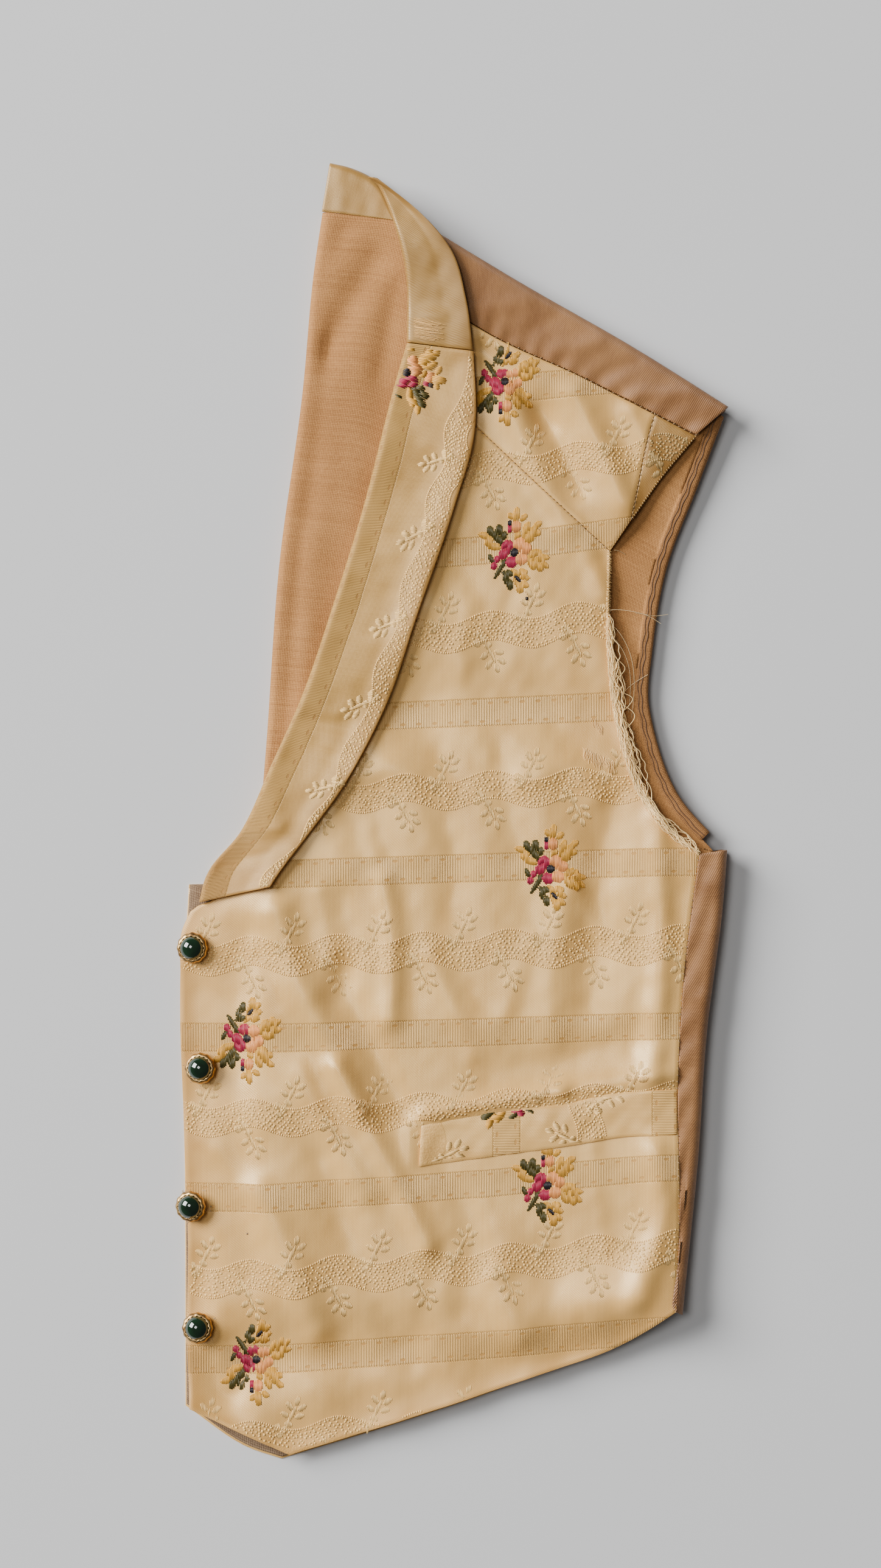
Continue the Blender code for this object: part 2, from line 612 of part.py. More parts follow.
def make_fronts(silk):
    """The three pieces of the left front, and the right front that lies on the table."""
    roll, edge = collar_stations(COLLAR_UPPER + COLLAR_LOWER[1:], 90)
    neck = neck_edge(roll, edge)
    over_seam = neck[:, 1] - DIAGONAL_SEAM[0][1]
    under_shoulder = SHOULDER_SEAM[0][1] - neck[:, 1]
    main_neck = neck[over_seam < -NECK_MARGIN][::-1]
    upper_neck = neck[(over_seam > NECK_MARGIN) & (under_shoulder > NECK_MARGIN)][::-1]

    columns, rows_edge, rows_neck = 23, 14, 16
    diagonal = smooth_line(DIAGONAL_SEAM, columns)
    under_collar = main_neck[0] - (0.0, 2 * SEAM_GAP)
    left = joined(
        smooth_line(FRONT_EDGE, rows_edge),
        np.array([FRONT_EDGE[-1], FRONT_BREAK, under_collar]),
        smooth_line(np.concatenate([[under_collar], main_neck[2:], [diagonal[0]]]), rows_neck - 2),
    )
    corner_columns = 5
    bottom = joined(
        smooth_line(FRONT_CORNER, corner_columns),
        smooth_line(FRONT_HEM, columns - corner_columns + 1),
    )
    right = joined(
        smooth_line(SIDE_SEAM, rows_edge + 1),
        smooth_line(FRONT_ARMHOLE, rows_neck - 1),
    )
    plan = patch(bottom, diagonal, left, right)
    flat_cloth("front_left", plan, front_low(plan), SILK_WALL, silk)

    columns = 12
    lower = shifted(smooth_line(DIAGONAL_SEAM, columns), SEAM_GAP)
    to_corner = [row for row in SHOULDER_SEAM if row[0] < CORNER_SEAM[-1][0]]
    upper = shifted(smooth_line([*to_corner, CORNER_SEAM[-1]], columns), -SEAM_GAP)
    left = smooth_line(np.concatenate([[lower[0]], upper_neck, [upper[0]]]), 9)
    armhole = smooth_line(UPPER_ARMHOLE_LOW, 3)
    corner = shifted(smooth_line(CORNER_SEAM, 7), SEAM_GAP)
    right = joined(armhole, corner)
    right[0], right[-1] = lower[-1], upper[-1]
    plan = patch(lower, upper, left, right)
    flat_cloth("front_left_shoulder_piece", plan, front_low(plan), SILK_WALL, silk)

    rows = 8
    left = shifted(smooth_line(CORNER_SEAM, rows), -0.5 * SEAM_GAP)
    right = smooth_line(UPPER_ARMHOLE_HIGH, rows)
    left[-1, 1] -= SEAM_GAP
    plan = between(left, right, 5)
    flat_cloth("front_left_armhole_piece", plan, front_low(plan), SILK_WALL, silk)

    roll, edge = collar_stations(COLLAR_LOWER, 40)
    beside = shifted(edge, SEAM_GAP)[::-1]
    beside = beside[beside[:, 1] > RIGHT_NECK_Y]
    top = shifted(smooth_line([RIGHT_SHOULDER_TIP, *SHOULDER_SEAM[1:]], 9), -SEAM_GAP)
    left = joined(
        smooth_line(RIGHT_FRONT_EDGE, 7),
        smooth_line([RIGHT_FRONT_EDGE[-1], RIGHT_FRONT_BREAK, beside[0]], 3),
        smooth_line(np.concatenate([beside, [top[0]]]), 10),
    )
    bottom = joined(smooth_line(RIGHT_FRONT_CORNER, 3), smooth_line(RIGHT_FRONT_HEM, 7))
    armhole = [*FRONT_ARMHOLE, UPPER_ARMHOLE_HIGH[1], tuple(top[-1])]
    right = joined(smooth_line(SIDE_SEAM, 7), smooth_line(armhole, 12))
    right[0] = bottom[-1]
    plan = patch(bottom, top, left, right)
    flat_cloth("front_right", plan, np.zeros(plan.shape[:2]), SILK_WALL, silk)


def make_collars(silk, plain_silk, hidden):
    make_collar("collar_left_upper", COLLAR_UPPER, UPPER_COLLAR_ROWS, plain_silk)
    make_collar("collar_left_lower", COLLAR_LOWER, LOWER_COLLAR_ROWS, silk)

    # The inside of the stand at the back neck, turned over at its top
    top = smooth_line(STAND_TOP, 8)
    seam = smooth_line([(x, y + SEAM_GAP) for x, y in NECK_SEAM[:3]], 8)

    def stand_top(plan):
        return lining_low(plan) + COLLAR_WALL

    def stand_low(plan):
        return np.full(plan.shape[:-1], RIGHT_FRONT_TOP)

    folded_strip("collar_stand", top, seam, stand_top, stand_low, TWILL_WALL, plain_silk)

    # The collar behind the neck, turned to the outside of the back and hidden there
    below = smooth_line(COLLAR_BEHIND_LOW, 7)
    above = smooth_line(COLLAR_BEHIND_TOP, 7)
    plan = np.stack([below, 0.5 * (below + above), above])
    upper = raised(plan, front_low(plan) - SEAM_GAP)
    lower = raised(plan, RIGHT_FRONT_TOP)
    cloth("collar_back_folded", upper, lower, hidden, rim_rings(upper, lower, LAYERED_RIM))

    # The right collar faces the table
    roll, edge = collar_stations(COLLAR_LOWER, 18)
    keep = roll[:, 1] > RIGHT_COLLAR_Y
    plan = between(roll[keep], edge[keep] - (HIDDEN_GAP, 0.0), 4)
    flat_cloth("collar_right_lower", plan, np.zeros(plan.shape[:2]), SILK_WALL, silk)
    roll, edge = collar_stations(COLLAR_UPPER[1:], 8)
    plan = between(roll, edge - (HIDDEN_GAP, 0.0), 4)
    flat_cloth("collar_right_upper", plan, np.zeros(plan.shape[:2]), SILK_WALL, plain_silk)


def make_welt(silk):
    both = smooth_line(WELT, 15)
    plan = np.swapaxes(between(both[:, :2], both[:, 2:], 5), 0, 1)
    low = front_top(plan) + SEAM_GAP + WELT_LIFT
    flat_cloth("pocket_welt_left", plan, low, SILK_WALL, silk)


def turned(rings, tip):
    """Points and faces of a turned piece. Columns of rings: radius list, height."""
    sides = len(rings[0][0])
    angle = np.linspace(0.0, 2 * math.pi, sides, endpoint=False)
    points = []
    for radii, height in rings:
        for radius, a in zip(radii, angle):
            points.append((radius * math.cos(a), radius * math.sin(a), height))
    faces = []
    for ring in range(len(rings) - 1):
        for k in range(sides):
            after = (k + 1) % sides
            low, high = ring * sides, (ring + 1) * sides
            faces.append((low + k, low + after, high + after, high + k))
    foot, top = len(points), len(points) + 1
    points += [(0.0, 0.0, rings[0][1]), (0.0, 0.0, tip)]
    last = (len(rings) - 1) * sides
    for k in range(sides):
        after = (k + 1) % sides
        faces.append((foot, after, k))
        faces.append((top, last + k, last + after))
    return points, faces


def make_buttons(gilt, glass):
    """Four cups with a scalloped rim, each holding a domed stone."""
    sides = 2 * BUTTON_LOBES
    hollows = LOBE_DEPTH * (np.arange(sides) % 2)
    cup = [
        (BUTTON_RADIUS * share * (1.0 - hollows * lobed), height)
        for share, height, lobed in CUP_PROFILE
    ]
    dome_low = SEAT_HEIGHT + SEAM_GAP
    dome_rise = STONE_HEIGHT - STONE_GIRDLE
    stone = [(np.full(sides, STONE_FOOT * STONE_RADIUS), dome_low)]
    for degrees in DOME_DEGREES:
        radius = STONE_RADIUS * math.cos(math.radians(degrees))
        height = dome_low + STONE_GIRDLE + dome_rise * math.sin(math.radians(degrees))
        stone.append((np.full(sides, radius), height))
    for number, button in enumerate(BUTTONS, 1):
        below = front_top(np.array((button.x, button.y)))
        for kind, shape, finish in (
            ("mount", turned(cup, SEAT_HEIGHT), gilt),
            ("stone", turned(stone, dome_low + STONE_HEIGHT), glass),
        ):
            placed = add_mesh(f"button_{number}_{kind}", *shape, finish)
            placed.location = (button.x * MM, button.y * MM, (below + button.rise) * MM)
            placed.rotation_euler = (math.radians(button.lean_x), math.radians(button.lean_y), 0.0)


def main():
    for old in list(bpy.data.objects):
        bpy.data.objects.remove(old)
    silk = material("brocaded silk", (0.60, 0.47, 0.27), 0.40)
    plain_silk = material("plain silk", (0.64, 0.52, 0.32), 0.35)
    linen = material("linen lining", (0.55, 0.37, 0.20), 0.85)
    twill = material("silk twill", (0.46, 0.23, 0.12), 0.45)
    hidden = material("inner layers", (0.45, 0.26, 0.14), 0.80)
    gilt = material("gilt brass", (0.62, 0.44, 0.20), 0.35, 1.0)
    glass = material("green glass", (0.01, 0.03, 0.02), 0.08)
    make_back(linen, hidden)
    make_folds(twill)
    make_fronts(silk)
    make_collars(silk, plain_silk, hidden)
    make_welt(silk)
    make_buttons(gilt, glass)


main()
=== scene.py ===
"""The looks of a small boy's brocaded silk waistcoat, folded in half and laid flat.

Sizes are in millimetres, and MM turns them into Blender's metres. The cloth lies as the
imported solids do: the right front on the table, the folded back over it with its linen
lining upwards, and the left front with its shawl collar on top.
"""

import math
from typing import NamedTuple

import bmesh
import bpy
import numpy as np
from mathutils import Euler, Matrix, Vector


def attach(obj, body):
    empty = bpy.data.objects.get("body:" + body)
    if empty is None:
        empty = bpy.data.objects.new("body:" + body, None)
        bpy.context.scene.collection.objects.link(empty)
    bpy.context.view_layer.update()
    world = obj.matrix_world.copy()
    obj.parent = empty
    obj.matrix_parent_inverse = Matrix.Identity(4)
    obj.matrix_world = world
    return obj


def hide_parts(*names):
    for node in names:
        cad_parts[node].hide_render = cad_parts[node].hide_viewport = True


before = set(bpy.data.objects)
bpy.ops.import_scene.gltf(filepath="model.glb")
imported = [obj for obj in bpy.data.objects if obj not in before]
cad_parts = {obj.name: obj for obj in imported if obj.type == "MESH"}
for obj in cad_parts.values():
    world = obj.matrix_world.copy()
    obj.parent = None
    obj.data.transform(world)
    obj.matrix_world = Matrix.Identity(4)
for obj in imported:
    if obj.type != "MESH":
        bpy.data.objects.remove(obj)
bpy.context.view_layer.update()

MM = 0.001

# The camera looks straight down on the garment, as the photograph does. Its field takes
# in 502 mm from top to bottom, and its middle lies a little left of the garment's.
LENS = 85.0
SENSOR = 36.0
VIEW_HEIGHT = 502.3
VIEW_CENTRE = (-4.6, 8.9)
GARMENT_LEVEL = 8.0

camera_data = bpy.data.cameras.new("camera")
camera_data.lens = LENS
camera_data.sensor_width = SENSOR
camera = bpy.data.objects.new("camera", camera_data)
camera_height = GARMENT_LEVEL + VIEW_HEIGHT * LENS / SENSOR
camera.location = (VIEW_CENTRE[0] * MM, VIEW_CENTRE[1] * MM, camera_height * MM)
bpy.context.scene.collection.objects.link(camera)
bpy.context.scene.camera = camera

# The left half of the back's lining: salmon linen in plain weave, sewn to the twill back
# at its armhole. It lies face up, and turns round the centre fold to the right half.
LINING_WALL = 0.9
TWILL_WALL = 1.0
SILK_WALL = 1.2
SEAM_GAP = 0.3
HIDDEN_GAP = 0.9
RIGHT_FRONT_TOP = SILK_WALL + SEAM_GAP
BACK_RISE = 3.8
SIDE_PUFF, SIDE_PUFF_REACH = 2.4, 28.0
SHOULDER_PUFF, SHOULDER_PUFF_REACH = 2.2, 26.0
DROP_REACH, DROP_WIDTH = 18.0, 24.0
BACK_HEM_Y = -160.5
FOLD_INSET = 3.5
CENTRE_INSET = 2.6
CENTRE_BACK = (
    (-67.4, -160.5), (-66.8, -81.2), (-64.8, -32.5), (-60.5, 24.1),
    (-56.6, 78.7), (-49.0, 135.2), (-45.3, 174.2), (-40.3, 208.9),
)
NECK_SEAM = ((-42.6, 192.6), (-32.7, 191.3), (-20.0, 189.6), (-9.5, 185.2))
SHOULDER_FOLD = ((-7.0, 186.6), (20.0, 170.3), (59.0, 147.9), (87.7, 129.9))
SIDE_FOLD = ((73.0, -161.0), (78.1, -110.5), (80.8, -71.5), (86.0, -30.0), (87.4, -12.4))
BACK_ARMHOLE = (
    (87.4, 129.3), (77.9, 104.0), (68.3, 78.7), (63.5, 51.4),
    (62.3, 35.8), (64.1, 26.0), (71.5, 6.0), (87.0, -12.0),
)
ARMHOLE_FOOT = (84.0, -13.2)
SHOULDER_POINT = (83.6, 127.6)
THREAD_PITCH = 0.54
LINEN_THICKNESS = 0.6


class Fold(NamedTuple):
    """A soft ridge, or a trough where rise is below 0, along a straight run."""

    x0: float
    y0: float
    x1: float
    y1: float
    rise: float
    width: float


LINING_FOLDS = (
    Fold(-51.0, 88, -56.6, 18, -1.2, 3.2),
    Fold(-42, 150, -48, 96, -0.9, 4.6),
    Fold(-25, 178, -42, 148, -1.3, 4.6),
    Fold(-34, 190, -44, 176, -0.7, 3.5),
    Fold(-29, 158, -33, 96, 0.9, 6.5),
    Fold(-41, 135, -46, 60, 0.5, 5.0),
    Fold(-19, 168, -24, 140, -0.7, 3.0),
    Fold(-47, 60, -50, 24, 0.7, 4.0),
    Fold(48, 61, 63, 58, -0.6, 2.4),
    Fold(48, 41, 62, 40, -0.5, 2.2),
    Fold(50, 24, 63, 21, -0.5, 2.6),
    Fold(56, 92, 70, 86, -0.6, 2.6),
    Fold(60, 8, 72, 2, -0.5, 2.6),
)


def ease(share):
    """0 to 1 with a soft start and end."""
    share = np.clip(share, 0.0, 1.0)
    return share * share * (3.0 - 2.0 * share)


def evenly(line, count):
    """count points, evenly spaced along a line of straight runs."""
    line = np.array(line, float)
    steps = np.linalg.norm(np.diff(line, axis=0), axis=1)
    walked = np.concatenate([[0.0], np.cumsum(steps)])
    wanted = np.linspace(0.0, walked[-1], count)
    return np.stack([np.interp(wanted, walked, line[:, k]) for k in range(line.shape[1])], axis=1)


def smooth_line(rows, count):
    """count points, evenly spaced, on the smooth line through a table's rows."""
    rows = np.array(rows, float)
    steps = np.linalg.norm(np.diff(rows, axis=0), axis=1)
    along = np.concatenate([[0.0], np.cumsum(steps)])
    tangents = np.gradient(rows, along, axis=0)
    dense = np.linspace(0.0, along[-1], 40 * len(rows))
    spans = np.clip(np.searchsorted(along, dense, side="right") - 1, 0, len(steps) - 1)
    t = ((dense - along[spans]) / steps[spans])[:, None]
    reach = steps[spans][:, None]
    points = (
        (2 * t**3 - 3 * t**2 + 1) * rows[spans]
        + (t**3 - 2 * t**2 + t) * reach * tangents[spans]
        + (3 * t**2 - 2 * t**3) * rows[spans + 1]
        + (t**3 - t**2) * reach * tangents[spans + 1]
    )
    return evenly(points, count)


def joined(*lines):
    """Lines that follow each other, with each shared end kept once."""
    return np.concatenate([lines[0]] + [line[1:] for line in lines[1:]])


def shifted(line, distance):
    """A line moved to the left of its own direction."""
    along = np.gradient(line, axis=0)
    along /= np.linalg.norm(along, axis=1)[:, None]
    return line + distance * np.stack([-along[:, 1], along[:, 0]], axis=1)


def towards(start, end):
    run = end - start
    return run / np.linalg.norm(run, axis=1)[:, None]


def patch(bottom, top, left, right):
    """The plan grid between four edge lines, rows from bottom to top."""
    v = np.linspace(0.0, 1.0, len(left))[:, None, None]
    u = np.linspace(0.0, 1.0, len(bottom))[None, :, None]
    across = (1 - u) * left[:, None] + u * right[:, None]
    upward = (1 - v) * bottom[None] + v * top[None]
    corners = (
        (1 - u) * (1 - v) * bottom[0]
        + u * (1 - v) * bottom[-1]
        + (1 - u) * v * top[0]
        + u * v * top[-1]
    )
    return across + upward - corners


def between(left, right, columns):
    """The plan grid between two lines that run the same way."""
    u = np.linspace(0.0, 1.0, columns)[None, :, None]
    return (1 - u) * left[:, None] + u * right[:, None]


def distance_to(line, plan):
    """How far each plan point lies from a line of straight runs."""
    nearest = np.full(plan.shape[:-1], np.inf)
    for start, end in zip(line[:-1], line[1:]):
        run = end - start
        if not run.any():
            continue
        share = np.clip(((plan - start) @ run) / (run @ run), 0.0, 1.0)
        gap = np.linalg.norm(plan - start - share[..., None] * run, axis=-1)
        nearest = np.minimum(nearest, gap)
    return nearest


def fold_height(folds, plan):
    """The sum of the soft ridges and troughs, which fade out towards their ends."""
    height = np.zeros(plan.shape[:-1])
    for fold in folds:
        line = np.array(((fold.x0, fold.y0), (fold.x1, fold.y1)), float)
        height += fold.rise * np.exp(-((distance_to(line, plan) / fold.width) ** 2))
    return height


def ripple(plan, size, rise, seed):
    """Uneven low waves of about one size, as in cloth that was folded away for long."""
    draw = np.random.default_rng(seed)
    height = np.zeros(plan.shape[:-1])
    waves = 9
    for _ in range(waves):
        turn = draw.uniform(0.0, math.pi)
        length = size * draw.uniform(0.6, 1.7)
        phase = draw.uniform(0.0, 2 * math.pi)
        along = plan[..., 0] * math.cos(turn) + plan[..., 1] * math.sin(turn)
        height += np.sin(2 * math.pi * along / length + phase)
    return rise * height / math.sqrt(waves)


CENTRE_LINE = smooth_line(CENTRE_BACK, 60)
SHOULDER_LINE = smooth_line(SHOULDER_FOLD, 12)
SIDE_LINE = smooth_line(SIDE_FOLD, 16)


def over_back(plan):
    """1 over the back's layers, easing to 0 past its centre fold and its hem."""
    centre_x = np.interp(plan[..., 1], CENTRE_LINE[:, 1], CENTRE_LINE[:, 0])
    past_centre = ease((plan[..., 0] - centre_x + DROP_REACH) / DROP_WIDTH)
    past_hem = ease((plan[..., 1] - BACK_HEM_Y + DROP_REACH) / DROP_WIDTH)
    return past_centre * past_hem


def stack_top(plan):
    """The top of the back's hidden layers."""
    side = (distance_to(SIDE_LINE, plan) / SIDE_PUFF_REACH) ** 2
    shoulder = (distance_to(SHOULDER_LINE, plan) / SHOULDER_PUFF_REACH) ** 2
    puff = SIDE_PUFF * np.exp(-side) + SHOULDER_PUFF * np.exp(-shoulder)
    return (BACK_RISE + puff) * over_back(plan)


def lining_top(plan):
    """The upper face of the lining, without its own folds."""
    return stack_top(plan) + SEAM_GAP + LINING_WALL


def raised(plan, height):
    """A plan grid with its height as a third column."""
    height = np.broadcast_to(height, plan.shape[:-1])
    return np.concatenate([plan, height[..., None]], axis=-1)


def half_turn(fold, inward, high, low, wall, steps):
    """Both faces of a wall that turns round a fold, from its top leg to its lower leg."""
    radius = 0.5 * (high - low)[:, None]
    middle = 0.5 * (high + low)[:, None]
    angle = np.linspace(0.0, math.pi, steps)[None, :]
    faces = []
    for reach in (radius, radius - wall):
        inset = radius - reach * np.sin(angle)
        plan = fold[:, None] + inset[..., None] * inward[:, None]
        faces.append(raised(plan, middle + reach * np.cos(angle)))
    return faces


def spread(grid):
    """How far along its rows and its columns each point of a grid lies."""
    down = np.linalg.norm(np.diff(grid, axis=0), axis=-1).mean(axis=1)
    across = np.linalg.norm(np.diff(grid, axis=1), axis=-1)
    s = np.concatenate([[0.0], np.cumsum(down)])[:, None] + np.zeros(grid.shape[:2])
    t = np.concatenate([np.zeros((len(grid), 1)), np.cumsum(across, axis=1)], axis=1)
    return np.stack([s, t, s], axis=-1)


RIM_STEPS = (0.15, 0.5, 0.85)
RIM_ROUNDNESS = 0.5


def cloth(name, upper, lower, weave, finish, soil=None):
    """A thin closed cloth between two grids, with a rounded rim.

    weave is its own (s, t, w), and soil is how yellowed it is, from 0 to 1.
    """
    rows, columns = upper.shape[:2]
    size = rows * columns
    index = np.arange(size).reshape(rows, columns)
    quads = np.stack(
        [index[:-1, :-1], index[:-1, 1:], index[1:, 1:], index[1:, :-1]], axis=-1
    ).reshape(-1, 4)
    border = np.concatenate([index[0, :-1], index[:-1, -1], index[-1, :0:-1], index[:0:-1, 0]])

    middle = 0.5 * (upper + lower)
    outward = np.zeros_like(middle)
    outward[0] += middle[0] - middle[1]
    outward[-1] += middle[-1] - middle[-2]
    outward[:, 0] += middle[:, 0] - middle[:, 1]
    outward[:, -1] += middle[:, -1] - middle[:, -2]
    outward = outward.reshape(size, 3)[border]
    outward /= np.linalg.norm(outward, axis=1)[:, None]
    high, low = upper.reshape(size, 3)[border], lower.reshape(size, 3)[border]
    wall = np.linalg.norm(high - low, axis=1)[:, None]
    points = [upper.reshape(size, 3), lower.reshape(size, 3)]
    weaves = [weave.reshape(size, 3)] * 2
    soil = np.zeros(size) if soil is None else soil.reshape(size)
    soils = [soil, soil]
    for share in RIM_STEPS:
        reach = RIM_ROUNDNESS * math.sqrt(0.25 - (share - 0.5) ** 2)
        points.append((1 - share) * high + share * low + reach * wall * outward)
        weaves.append(weaves[0][border])
        soils.append(soil[border])

    faces = [quads, quads[:, ::-1] + size]
    ring = np.arange(len(border))
    loops = [border] + [2 * size + n * len(border) + ring for n in range(len(RIM_STEPS))]
    loops.append(border + size)
    for above, below in zip(loops[:-1], loops[1:]):
        faces.append(np.stack([above, below, np.roll(below, -1), np.roll(above, -1)], axis=-1))

    mesh = bpy.data.meshes.new(name)
    mesh.from_pydata((np.concatenate(points) * MM).tolist(), [], np.concatenate(faces).tolist())
    work = bmesh.new()
    work.from_mesh(mesh)
    bmesh.ops.recalc_face_normals(work, faces=work.faces)
    work.to_mesh(mesh)
    work.free()
    mesh.shade_smooth()
    kept = mesh.attributes.new("weave", "FLOAT_VECTOR", "POINT")
    kept.data.foreach_set("vector", np.concatenate(weaves).astype(np.float32).ravel())
    kept = mesh.attributes.new("soil", "FLOAT", "POINT")
    kept.data.foreach_set("value", np.concatenate(soils).astype(np.float32))
    mesh.materials.append(finish)
    piece = bpy.data.objects.new(name, mesh)
    bpy.context.scene.collection.objects.link(piece)
    return piece


NARROWEST_CUT = 10.0
TAPERED = 0.5


def lay_sheet(piece, face, nodes=()):
    """Ride one cloth on the root, and hide the imported parts it stands for. Its cut is measured over its
    face, laid flat.
    """
    widths = np.linalg.norm(np.diff(face, axis=1), axis=-1).sum(axis=1)
    lengths = np.linalg.norm(np.diff(face, axis=0), axis=-1).sum(axis=0)
    quads = np.cross(face[1:, 1:] - face[:-1, :-1], face[1:, :-1] - face[:-1, 1:])
    area = 0.5 * np.linalg.norm(quads, axis=-1).sum()
    flat = (widths.max(), lengths.max())
    if area < TAPERED * flat[0] * flat[1]:
        flat = (widths.mean(), 1.1 * lengths.mean())
    flat = tuple(max(side, NARROWEST_CUT) * MM for side in flat)
    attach(piece, "root")
    if nodes:
        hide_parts(*nodes)


class Tone:
    """One output in a material. Arithmetic on it adds Math nodes."""

    def __init__(self, finish, port):
        self.finish = finish
        self.port = port

    def math(self, operation, *others):
        return self.finish.node("Math", {"operation": operation}, dict(enumerate([self, *others])))

    def __add__(self, other):
        return self.math("ADD", other)

    def __sub__(self, other):
        return self.math("SUBTRACT", other)

    def __rsub__(self, other):
        return self.finish.node("Math", {"operation": "SUBTRACT"}, {0: other, 1: self})

    def __mul__(self, other):
        return self.math("MULTIPLY", other)

    def __truediv__(self, other):
        return self.math("DIVIDE", other)

    def __lt__(self, other):
        return self.math("LESS_THAN", other)

    def __abs__(self):
        return self.math("ABSOLUTE")

    __radd__ = __add__
    __rmul__ = __mul__

    def wave(self, pitch):
        """-1 to 1 and back over each pitch."""
        return (self * (2 * math.pi / pitch)).math("SINE")

    def soft(self, low, high):
        """0 below low and 1 above high, with a soft step between."""
        settings = {"interpolation_type": "SMOOTHSTEP"}
        return self.finish.node("MapRange", settings, {0: self, 1: low, 2: high})


class Finish:
    """A material in the making. Its shader's plain numbers are set on its own sockets."""

    def __init__(self, name, **numbers):
        self.material = bpy.data.materials.new(name)
        self.material.use_nodes = True
        self.tree = self.material.node_tree
        self.shader = self.tree.nodes["Principled BSDF"]
        for socket, value in numbers.items():
            self.shader.inputs[socket.replace("_", " ").title().replace("Ior", "IOR")].default_value = value

    def node(self, kind, settings, inputs, output=0):
        made = self.tree.nodes.new("ShaderNode" + kind)
        for name, value in settings.items():
            setattr(made, name, value)
        for name, value in inputs.items():
            self.feed(made.inputs[name], value)
        return Tone(self, made.outputs[output])

    def feed(self, socket, value):
        if isinstance(value, Tone):
            self.tree.links.new(value.port, socket)
        else:
            socket.default_value = value

    def weave(self):
        """The cloth's own s, t and w in millimetres, and the three together."""
        whole = self.node("Attribute", {"attribute_name": "weave"}, {}, "Vector")
        parts = [self.node("SeparateXYZ", {}, {0: whole}, k) for k in range(3)]
        return (*parts, whole)

    def noise(self, place, stretch, detail=3.0):
        """0 to 1, uneven over the lengths in stretch, in millimetres."""
        scale = tuple(1.0 / length for length in stretch)
        spread_out = self.node("VectorMath", {"operation": "MULTIPLY"}, {0: place, 1: scale})
        return self.node("TexNoise", {}, {"Vector": spread_out, "Scale": 1.0, "Detail": detail})

    def mixed(self, share, first, second):
        first = first if isinstance(first, Tone) else (*first, 1.0)
        second = second if isinstance(second, Tone) else (*second, 1.0)
        inputs = {0: share, 6: first, 7: second}
        return self.node("Mix", {"data_type": "RGBA"}, inputs, 2)

    def done(self, colour, height=None, roughness=None):
        """Join colour, roughness, and a height in millimetres as bump."""
        self.feed(self.shader.inputs["Base Color"], colour)
        if roughness is not None:
            self.feed(self.shader.inputs["Roughness"], roughness)
        if height is not None:
            inputs = {"Strength": 1.0, "Distance": MM, "Height": height}
            bump = self.node("Bump", {}, inputs)
            self.feed(self.shader.inputs["Normal"], bump)
        return self.material


def linen_finish(name, light, shade, pitch):
    """Plain weave: threads that pass over and under each other, some thicker than others."""
    made = Finish(name, roughness=0.85, specular_ior_level=0.25)
    s, t, _, whole = made.weave()
    across = s.wave(2 * pitch)
    along = t.wave(2 * pitch)
    over = (across * along * 4.0).math("MINIMUM", 1.0).math("MAXIMUM", -1.0)
    threads = abs(across) * (0.5 + 0.5 * over) + abs(along) * (0.5 - 0.5 * over)
    slubs = made.noise(whole, (pitch, 30.0, 1.0)) + made.noise(whole, (30.0, pitch, 1.0))
    blotches = made.noise(whole, (32.0, 32.0, 32.0))
    tone = threads * 0.42 + slubs * 0.5 + blotches * 0.5 - 0.55
    height = threads * 0.10 + slubs * 0.03
    return made.done(made.mixed(tone.soft(0.0, 1.0), shade, light), height)


LINEN = linen_finish("salmon linen", (0.62, 0.30, 0.100), (0.30, 0.125, 0.036), THREAD_PITCH)

ROWS_SIDE, ROWS_ARMHOLE, LINING_COLUMNS = 96, 92, 72
rows = ROWS_SIDE + ROWS_ARMHOLE - 1
centre = smooth_line([row for row in CENTRE_BACK if row[1] < NECK_SEAM[0][1]] + [NECK_SEAM[0]], rows)
inward = towards(centre, shifted(centre, -CENTRE_INSET))
turn_low = RIGHT_FRONT_TOP * ease((30.0 - centre[:, 1]) / 15.0)
turn_radius = 0.5 * (lining_top(centre + CENTRE_INSET * inward) - turn_low)
back_left = centre + np.maximum(CENTRE_INSET, turn_radius + 2 * SEAM_GAP)[:, None] * inward
side = shifted(smooth_line(SIDE_FOLD, ROWS_SIDE), FOLD_INSET)
armhole = shifted(smooth_line(BACK_ARMHOLE, ROWS_ARMHOLE), -FOLD_INSET)[::-1]
side[-1] = armhole[0] = ARMHOLE_FOOT
back_right = joined(side, armhole)
neck = smooth_line([back_left[-1], *NECK_SEAM[1:]], LINING_COLUMNS // 4)
shoulder = shifted(smooth_line(SHOULDER_FOLD, LINING_COLUMNS - len(neck) + 1), -FOLD_INSET)
back_right[-1] = shoulder[-1] = SHOULDER_POINT
shoulder[0] = neck[-1]
back_top = joined(neck, shoulder)
back_bottom = np.linspace(back_left[0], back_right[0], LINING_COLUMNS)
BACK_PLAN = patch(back_bottom, back_top, back_left, back_right)
BACK_EDGE = distance_to(joined(back_left, back_top, back_right[::-1]), BACK_PLAN)

inside = ease(BACK_EDGE / 4.0)
level = lining_top(BACK_PLAN) + inside * (
    fold_height(LINING_FOLDS, BACK_PLAN) + ripple(BACK_PLAN, 26.0, 0.10, 4)
)
outer, inner = half_turn(
    centre, inward, lining_top(back_left), turn_low, LINEN_THICKNESS, 9
)
face = np.concatenate([outer[:, ::-1], raised(BACK_PLAN, level)[:, 1:]], axis=1)
under = np.concatenate(
    [inner[:, ::-1], raised(BACK_PLAN, level - LINEN_THICKNESS)[:, 1:]], axis=1
)
lining = cloth("lining_left_back", face, under, spread(face), LINEN)
lay_sheet(lining, face, ["back_lining_left"])

